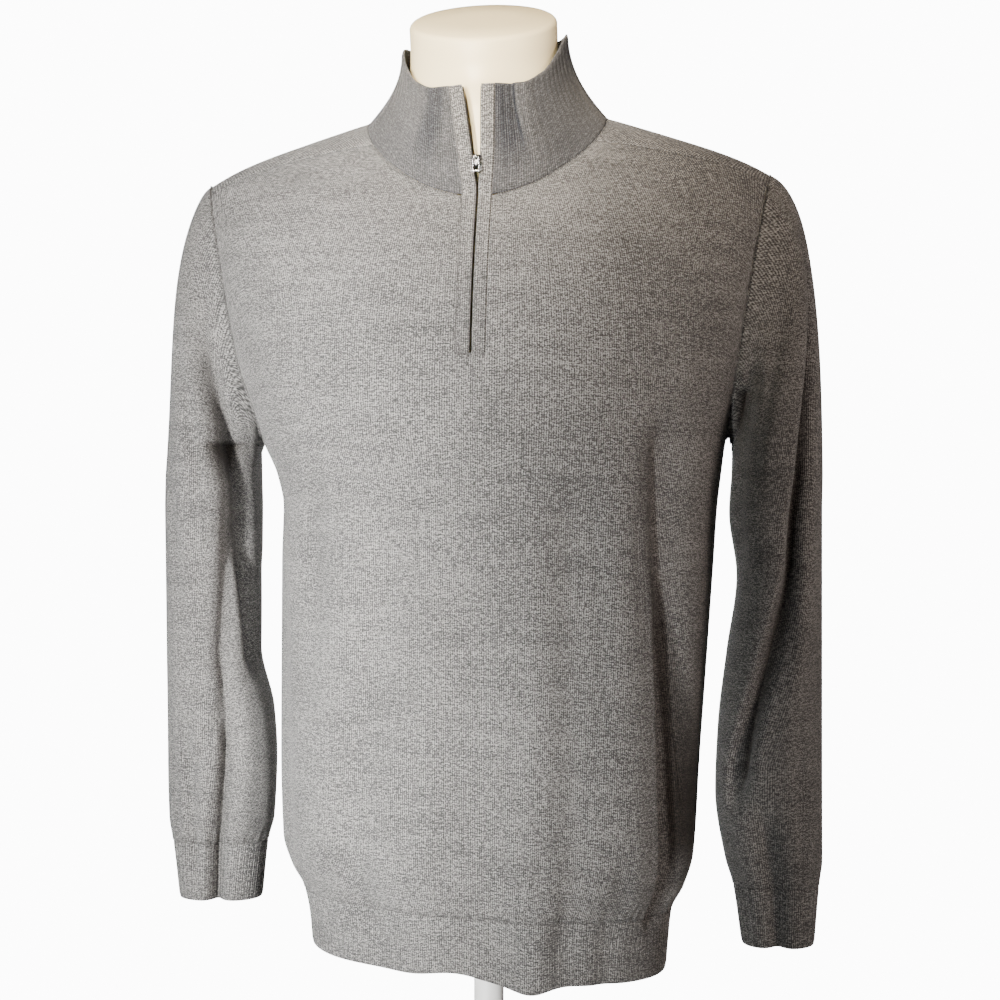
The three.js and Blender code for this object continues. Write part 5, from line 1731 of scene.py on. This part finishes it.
    def pull(self) -> None:
        """The pull: a rounded wire frame that hangs from the bail, with a heavier foot bar."""
        eye_y, eye_z = self.eye
        length = self.pull_length
        turn = np.linspace(0, 2 * np.pi, 121)
        x = self.pull_half * signed_power(np.sin(turn), 0.35)
        z = eye_z - length / 2 + length / 2 * signed_power(np.cos(turn), 0.3)
        x = x * (0.82 + 0.18 * (eye_z - z) / length)
        frame = Shells.tube(np.stack([x, np.full(121, eye_y), z], 1), self.pull_wire, 10)
        bar_x = np.linspace(-3.1, 3.1, 24)
        bar_radius = 0.62 * (1 - np.abs(bar_x / 3.15) ** 10) ** 0.5 + 0.05
        bar = np.stack([bar_x, np.full(24, eye_y), np.full(24, eye_z - length + 0.2)], 1)
        piece = Shells.joined("pull_tab_metal", [frame, Shells.tube(bar, bar_radius, 12, 1.7)])
        self.dresser.dress(piece, self.dresser.finishes.metal, "zip_metal", ("zip_pull",), "pull_tab")

    def build(self) -> None:
        """Builds both sides, the slider and the pull."""
        for side, name in ((Side.RIGHT, "right"), (Side.LEFT, "left")):
            self.band(side, name)
            self.tape(side, name)
        self.slider()
        self.pull()


@dataclass
class LinkedSeams:
    """The rows of linking stitches that close the seams, and a few gathered stitches beside them."""

    shape: BodyShape
    collar: Collar
    zip: Zip
    sleeves: tuple[Sleeve, Sleeve]
    dresser: Dresser
    radius: float = 0.5
    stitch: float = 2.1

    def cord(self, path: Array, grown: float = 1.0) -> tuple[Array, Array]:
        """A row of stitches: a round profile whose radius swells once a stitch."""
        run = run_along(path)
        fine = np.arange(0, run[-1], self.stitch / 4)
        path = np.stack([np.interp(fine, run, path[:, k]) for k in range(3)], 1)
        radius = self.radius * grown * (1 + 0.3 * np.cos(2 * np.pi * fine / self.stitch))
        return Shells.tube(path, radius, 6)

    def build(self) -> None:
        """Lays rows on every seam and round the bands, and gathers at the waist and the right cuff."""
        shape = self.shape
        rows: list[tuple[Array, Array]] = []
        inwards = np.array([0.0, 0.0, -0.35])
        for arm in (RIGHT_ARM, LEFT_ARM):
            side = arm.side.value
            x = np.linspace(90.5, arm.tip - 0.5, 160)
            shoulder = shape.yoke(side * x, shape.turn_at(x, shape.shoulder_y(x, arm)))
            rows.append(self.cord(shoulder + inwards))
            turn = np.linspace(-1, 1, 400)
            armhole = shape.yoke(side * (arm.armhole(turn) - 0.1), turn)
            rows.append(self.cord(armhole + [side * 0.1, 0, -0.1], 1.5))
        angle = np.linspace(9, 351, 420)
        angle = np.where(angle > 180, angle - 360, angle)
        x, y = shape.neck(angle, -0.1)
        rows.append(self.cord(shape.yoke(x, shape.turn_at(np.abs(x), y)) + [0, 0, -0.2], 1.15))
        around = np.linspace(-180, 179.5, 700)
        waist = shape.ring(around, np.full(700, shape.waist + 0.05))
        rows.append(self.cord(waist * [0.998, 0.998, 1], 1.15))
        foot = self.zip.foot_z
        rise = np.linspace(foot + 0.4, self.collar.top_z - 1, 500)
        for side, grown, sunk in ((Side.RIGHT, 1.45, 0.25), (Side.LEFT, 0.7, 0.95)):
            edge = side.value * (self.collar.edge(side)(rise) + self.zip.width + 0.15)
            rows.append(self.cord(self.collar.front_line(edge, rise) + [0, sunk, 0], grown))
        across = np.linspace(-11.6, 11.6, 60)
        rows.append(self.cord(self.collar.front_line(across, np.full(60, foot - 0.3)) + [0, -0.1, 0], 1.7))
        for angle in np.linspace(20.5, 28, 6):
            rise = np.linspace(0.6, 6.6, 12)
            gather = shape.ring(angle + 0.12 * rise, shape.waist + rise)
            rows.append(self.cord(gather * [1.002, 1.002, 1], 0.8))
        right = self.sleeves[0]
        for around in np.linspace(12, 62, 6):
            along = np.linspace(1.999, 1.983, 12)
            gather = right.points(np.full(12, around), along, right.cuff_top)[0]
            rows.append(self.cord(gather + [0, -0.3, 0], 0.8))
        for sleeve in self.sleeves:
            turned = np.linspace(0, 360, 400)
            ring = sleeve.points(turned, np.full(400, 2.0), sleeve.cuff_top)[0]
            middle = ring.mean(0)
            rows.append(self.cord(middle + (ring - middle) * [0.985, 0.985, 1]))
        piece = Shells.joined("linked_seams", rows)
        self.dresser.dress(piece, self.dresser.finishes.thread, "knit")


@dataclass
class FormAndStand:
    """The limbless torso form, its pole and its base."""

    shape: BodyShape
    dresser: Dresser
    clearance: float = 3.0
    foot: float = 330
    low_z: tuple[float, ...] = (330, 400, 480, 560, 620, 669)
    low_half: tuple[float, ...] = (132, 138, 137, 142, 148, 154)
    low_front: tuple[float, ...] = (92, 96, 95, 98, 103, 107)
    low_back: tuple[float, ...] = (88, 88, 84, 88, 94, 97)
    side: Curve = Curve(
        (669, 700, 740, 780, 820, 850, 866, 878, 887, 897, 905, 911, 915, 925),
        (154, 163, 178, 190, 201, 208, 211, 210, 205, 180, 147, 114, 92, 76),
    )
    ease: Curve = Curve((669, 740, 800, 940), (24, 14, 7.5, 6.5))
    neck_half: Curve = Curve((840, 880, 934), (40, 60, 61))
    neck_depth: Curve = Curve((840, 880, 934), (48, 58, 58))
    neck_middle: Curve = Curve((840, 880, 934), (-20, -12, -17))
    neck_rings: tuple[tuple[float, ...], ...] = (  # height, middle, half, depth, tilt, fullness
        (945, -21, 64, 58, 6, 5.6),
        (953, -24.5, 61.8, 57.4, 11, 4.4),
        (962, -28, 60, 57, 16, 3),
        (971, -31, 59, 57, 20, 1.7),
        (980, -34, 58.5, 57, 23, 0.8),
        (995, -40, 58.5, 57, 27, 0),
        (996.6, -40.6, 57.8, 56.3, 27, 0),
        (997.8, -41.1, 56.6, 55.1, 27, 0),
        (998.6, -41.4, 55, 53.5, 27, 0),
        (998.7, -41.4, 28, 27, 27, 0),
        (998.7, -41.4, 0.5, 0.5, 27, 0),
    )
    pole_radius: float = 12
    base_radius: float = 150
    base_height: float = 8

    def reach(self, x: Array, z: Array, front: Array) -> Array:
        """How far the form reaches to front or back: the cloth's section less an ease, joined to the neck."""
        end = (1 - np.minimum(1, (np.abs(x) / self.side(z)) ** 5)) ** 0.2
        height = self.shape.ridge(np.abs(x)) - self.clearance - self.shape.underarm
        climb = clip01((z - self.shape.underarm) / height)
        found = bisect(0, 1, x.shape, lambda t: shoulder_section(t, front)[0] < climb)
        out = shoulder_section(found, front)[1]
        half = np.minimum(self.shape.reach("right", z), self.shape.reach("left", z)) - self.clearance
        share = np.minimum(1, np.abs(x) / half)
        reach = np.where(front, self.shape.reach("front", z), self.shape.reach("back", z))
        reach = reach * (1 - share**SQUARENESS) ** (1 / SQUARENESS)
        body = np.maximum(0, reach * out - self.ease(z) * np.minimum(1, 2.2 * out)) * end
        inside = 1 - (x / self.neck_half(z)) ** 2
        middle = self.neck_middle(z) * np.where(front, -1, 1)
        full = np.where(front, 6.5 * bell(x, NECK_FULL_WIDTH) * clip01((z - 850) / 40), 0)
        neck = np.where(inside > 0, middle + self.neck_depth(z) * np.sqrt(np.maximum(inside, 0)) + full, 0)
        joint = np.maximum(body, neck) + 2 * np.log(1 + np.exp(-np.abs(body - neck) / 2)) - 1.4
        return np.where(z < self.neck_half.at[0], body, joint)

    def form(self) -> None:
        """Level rings for the trunk and tilted ones for the neck, all with the same number of points."""
        a = circle(144)
        rings = []
        low = {k: Curve(self.low_z, getattr(self, "low_" + k)) for k in ("half", "front", "back")}
        for z, rounding in ((330.0, 0.93), (331.5, 0.965), (335.0, 0.99), (340.0, 1.0)):
            rings.append(self.low_ring(a, z, rounding, low))
        for z in np.linspace(352, 660, 24):
            rings.append(self.low_ring(a, z, 1.0, low))
        top = np.concatenate([np.linspace(669, 866, 24)[:-1], np.linspace(866, 925, 26)])
        for z in top:
            x = self.side(z) * np.sin(a) * 0.999
            front = np.cos(a) > 0
            y = np.where(front, -1, 1) * self.reach(x, np.full(x.shape, z), front)
            rings.append(np.stack([x, y, np.full(x.shape, z)], 1))
        for z, middle, half, depth, tilt, full in self.neck_rings:
            y = -depth * np.cos(a) - full * bell(half * np.sin(a), NECK_FULL_WIDTH) * (np.cos(a) > 0)
            tilted = math.radians(tilt)
            rings.append(
                np.stack([half * np.sin(a), middle + y * math.cos(tilted), z + y * math.sin(tilted)], 1)
            )
        bottom = rings[0].copy()
        bottom[:, :2] *= 0.01
        piece = Shells.object("ivory_form", *Shells.rings(np.stack([bottom, *rings])))
        self.dresser.dress(piece, self.dresser.finishes.shell, "form_shell", ("torso_form",))

    @staticmethod
    def low_ring(a: Array, z: float, rounding: float, low: dict[str, Curve]) -> Array:
        """A rounded level ring below the underarm."""
        y = -signed_power(np.cos(a), 0.93)
        reach = np.where(y < 0, low["front"](z), low["back"](z))
        x = low["half"](z) * signed_power(np.sin(a), 0.93)
        return np.stack([x, y * reach, np.full(a.shape, z / rounding)], 1) * [rounding, rounding, rounding]

    def lathe(self, name: str, profile: Array, replaces: str) -> None:
        """Turns a profile of radius and height round the Z axis."""
        a = circle(96)
        radius, height = profile[:, 0][:, None], profile[:, 1][:, None]
        grid = np.stack([radius * np.cos(a), radius * np.sin(a), height + 0 * a], 2)
        piece = Shells.object(name, *Shells.rings(grid))
        self.dresser.dress(piece, self.dresser.finishes.coat, "stand_metal", (replaces,))

    def stand(self) -> None:
        """The pole with eased ends, and the base plate with an eased edge."""
        r, low, high = self.pole_radius, self.base_height + SEAM, self.foot - SEAM
        pole = np.array(
            [
                (0.01, low), (r - 0.6, low), (r, low + 0.6), (r, low + 20), (r, low + 120),
                (r, high - 30), (r, high - 0.6), (r - 0.6, high), (0.01, high),
            ]
        )
        self.lathe("stand_tube", pole, "stand_pole")
        ease = np.linspace(0, np.pi / 2, 8)
        base_r, top = self.base_radius, self.base_height
        edge = np.stack([base_r - 2.5 + 2.5 * np.cos(ease), top - 2.5 + 2.5 * np.sin(ease)], 1)
        base = np.concatenate(
            [[(0.01, 0.0), (base_r - 0.8, 0.0), (base_r, 0.8)], edge, [(base_r * 0.6, top), (0.01, top)]]
        )
        self.lathe("stand_plate", base, "stand_base")

    def build(self) -> None:
        """Builds the form and its stand."""
        self.form()
        self.stand()


@dataclass(frozen=True)
class Lamp:
    """A soft upright light with a grid, which keeps its beam within an angle."""

    name: str
    place: tuple[float, float, float]
    aim: tuple[float, float, float]
    size: tuple[float, float]
    power: float
    color: tuple[float, float, float]
    spread: float = 180


@dataclass
class Studio:
    """Pale floor, soft light and the camera at the photograph's angle."""

    lamps: tuple[Lamp, ...] = (
        Lamp("window", (-0.9, -2.4, 0.68), (-0.13, -0.1, 0.61), (0.2, 0.8), 3.6, (1, 0.985, 0.962), 13),
        Lamp("side_window", (-2.5, -0.9, 0.8), (0, 0, 0.62), (0.5, 1.2), 1.3, (0.98, 0.99, 1), 60),
        Lamp("low_light", (-0.7, -2.3, 0.15), (-0.07, -0.08, 0.36), (0.3, 0.3), 0.24, (0.95, 1, 1), 13),
        Lamp("high_light", (-0.6, -1.9, 2.2), (0, -0.03, 0.97), (0.3, 0.3), 0.42, (1, 0.8, 0.55), 11),
        Lamp("neck_light", (-0.15, -2.3, 1.2), (0, -0.06, 0.945), (0.15, 0.15), 0.22, (1, 0.9, 0.74), 6),
        Lamp("sleeve_light", (0.3, -2.3, 0.75), (-0.21, -0.05, 0.55), (0.2, 0.3), 0.12, (1, 0.98, 0.96), 8),
        Lamp("room_lamp", (1.9, -1.4, 1.2), (0.15, 0, 0.85), (0.8, 1.2), 3.0, (1, 0.84, 0.75), 50),
        Lamp("rear_light", (-0.3, 2.8, 0.8), (0, 0, 0.62), (1.6, 1.2), 62, (1, 0.985, 0.97)),
        Lamp("rear_right", (2.5, 0.95, 0.8), (0.1, 0.1, 0.62), (0.8, 1.2), 9, (1, 0.93, 0.87)),
        Lamp("rear_left", (-2.5, 0.95, 0.8), (-0.1, 0.1, 0.62), (0.8, 1.2), 7, (1, 0.98, 0.96)),
    )

    azimuth: float = 6.0
    distance: float = 1.6
    height: float = 0.62
    lens: float = 71.1
    seen_strength: float = 12.0
    lit_strength: float = 0.025
    aside: float = 0.0065

    def area(self, lamp: Lamp) -> None:
        """Hangs one soft light and aims it at its point."""
        light = bpy.data.lights.new(lamp.name, "AREA")
        light.shape = "RECTANGLE"
        light.size, light.size_y = lamp.size
        light.energy = lamp.power
        light.color = lamp.color
        light.spread = math.radians(lamp.spread)
        made = bpy.data.objects.new(lamp.name, light)
        bpy.context.scene.collection.objects.link(made)
        made.location = lamp.place
        away = np.array(lamp.place) - np.array(lamp.aim)
        flat = math.hypot(away[0], away[1])
        made.rotation_euler = (math.atan2(flat, away[2]), 0, math.atan2(away[0], -away[1]))

    def build(self) -> None:
        """Sets the floor, the world, the lights and the camera."""
        a = circle(96)
        rings = np.array([0.5, 400.0, 780.0])[:, None]
        grid = np.stack([rings * np.cos(a), rings * np.sin(a), np.full((3, 96), -0.6)], 2)
        floor = Shells.object("pale_floor", *Shells.rings(grid, inwards=True))
        paper = bpy.data.materials.new("white paper")
        paper.use_nodes = True
        shader = paper.node_tree.nodes["Principled BSDF"]
        shader.inputs["Base Color"].default_value = (0.88, 0.88, 0.87, 1)
        shader.inputs["Roughness"].default_value = 0.9
        floor.data.materials.append(paper)
        self.world()
        for lamp in self.lamps:
            self.area(lamp)
        camera = bpy.data.cameras.new("camera")
        camera.lens = self.lens
        viewer = bpy.data.objects.new("camera", camera)
        bpy.context.scene.collection.objects.link(viewer)
        a = math.radians(self.azimuth)
        viewer.location = (
            self.distance * math.sin(a) + self.aside * math.cos(a),
            -self.distance * math.cos(a) + self.aside * math.sin(a),
            self.height,
        )
        viewer.rotation_euler = (math.pi / 2, 0, a)
        bpy.context.scene.camera = viewer

    def world(self) -> None:
        """A white surround that lights the object softly and is pure white behind it."""
        world = bpy.data.worlds.new("surround")
        bpy.context.scene.world = world
        world.use_nodes = True
        tree = world.node_tree
        tree.nodes.clear()
        link = tree.links.new
        seen = node(tree, "Background", Color=(1, 1, 1, 1), Strength=self.seen_strength)
        lit = node(tree, "Background", Color=(1, 1, 1, 1), Strength=self.lit_strength)
        path = node(tree, "LightPath")
        chosen = node(tree, "MixShader")
        result = node(tree, "OutputWorld")
        link(path.outputs["Is Camera Ray"], chosen.inputs["Fac"])
        link(lit.outputs[0], chosen.inputs[1])
        link(seen.outputs[0], chosen.inputs[2])
        link(chosen.outputs[0], result.inputs["Surface"])


def main() -> None:
    """Builds every sub-assembly in order."""
    logging.basicConfig(level=logging.INFO, format="%(message)s")
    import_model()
    shape = BodyShape()
    dresser = Dresser(Wardrobe.make())
    TrunkPanels(shape, dresser).build()
    sleeves = (right_sleeve(shape, dresser), left_sleeve(shape, dresser))
    for sleeve, name in zip(sleeves, ("right", "left")):
        sleeve.build(name)
    collar = Collar(shape, dresser)
    collar.build()
    quarter_zip = Zip(collar, dresser)
    quarter_zip.build()
    LinkedSeams(shape, collar, quarter_zip, sleeves, dresser).build()
    FormAndStand(shape, dresser).build()
    Studio().build()
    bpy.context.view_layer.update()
    log.info("made %s", ", ".join(dresser.made))


if __name__ == "__main__":
    main()
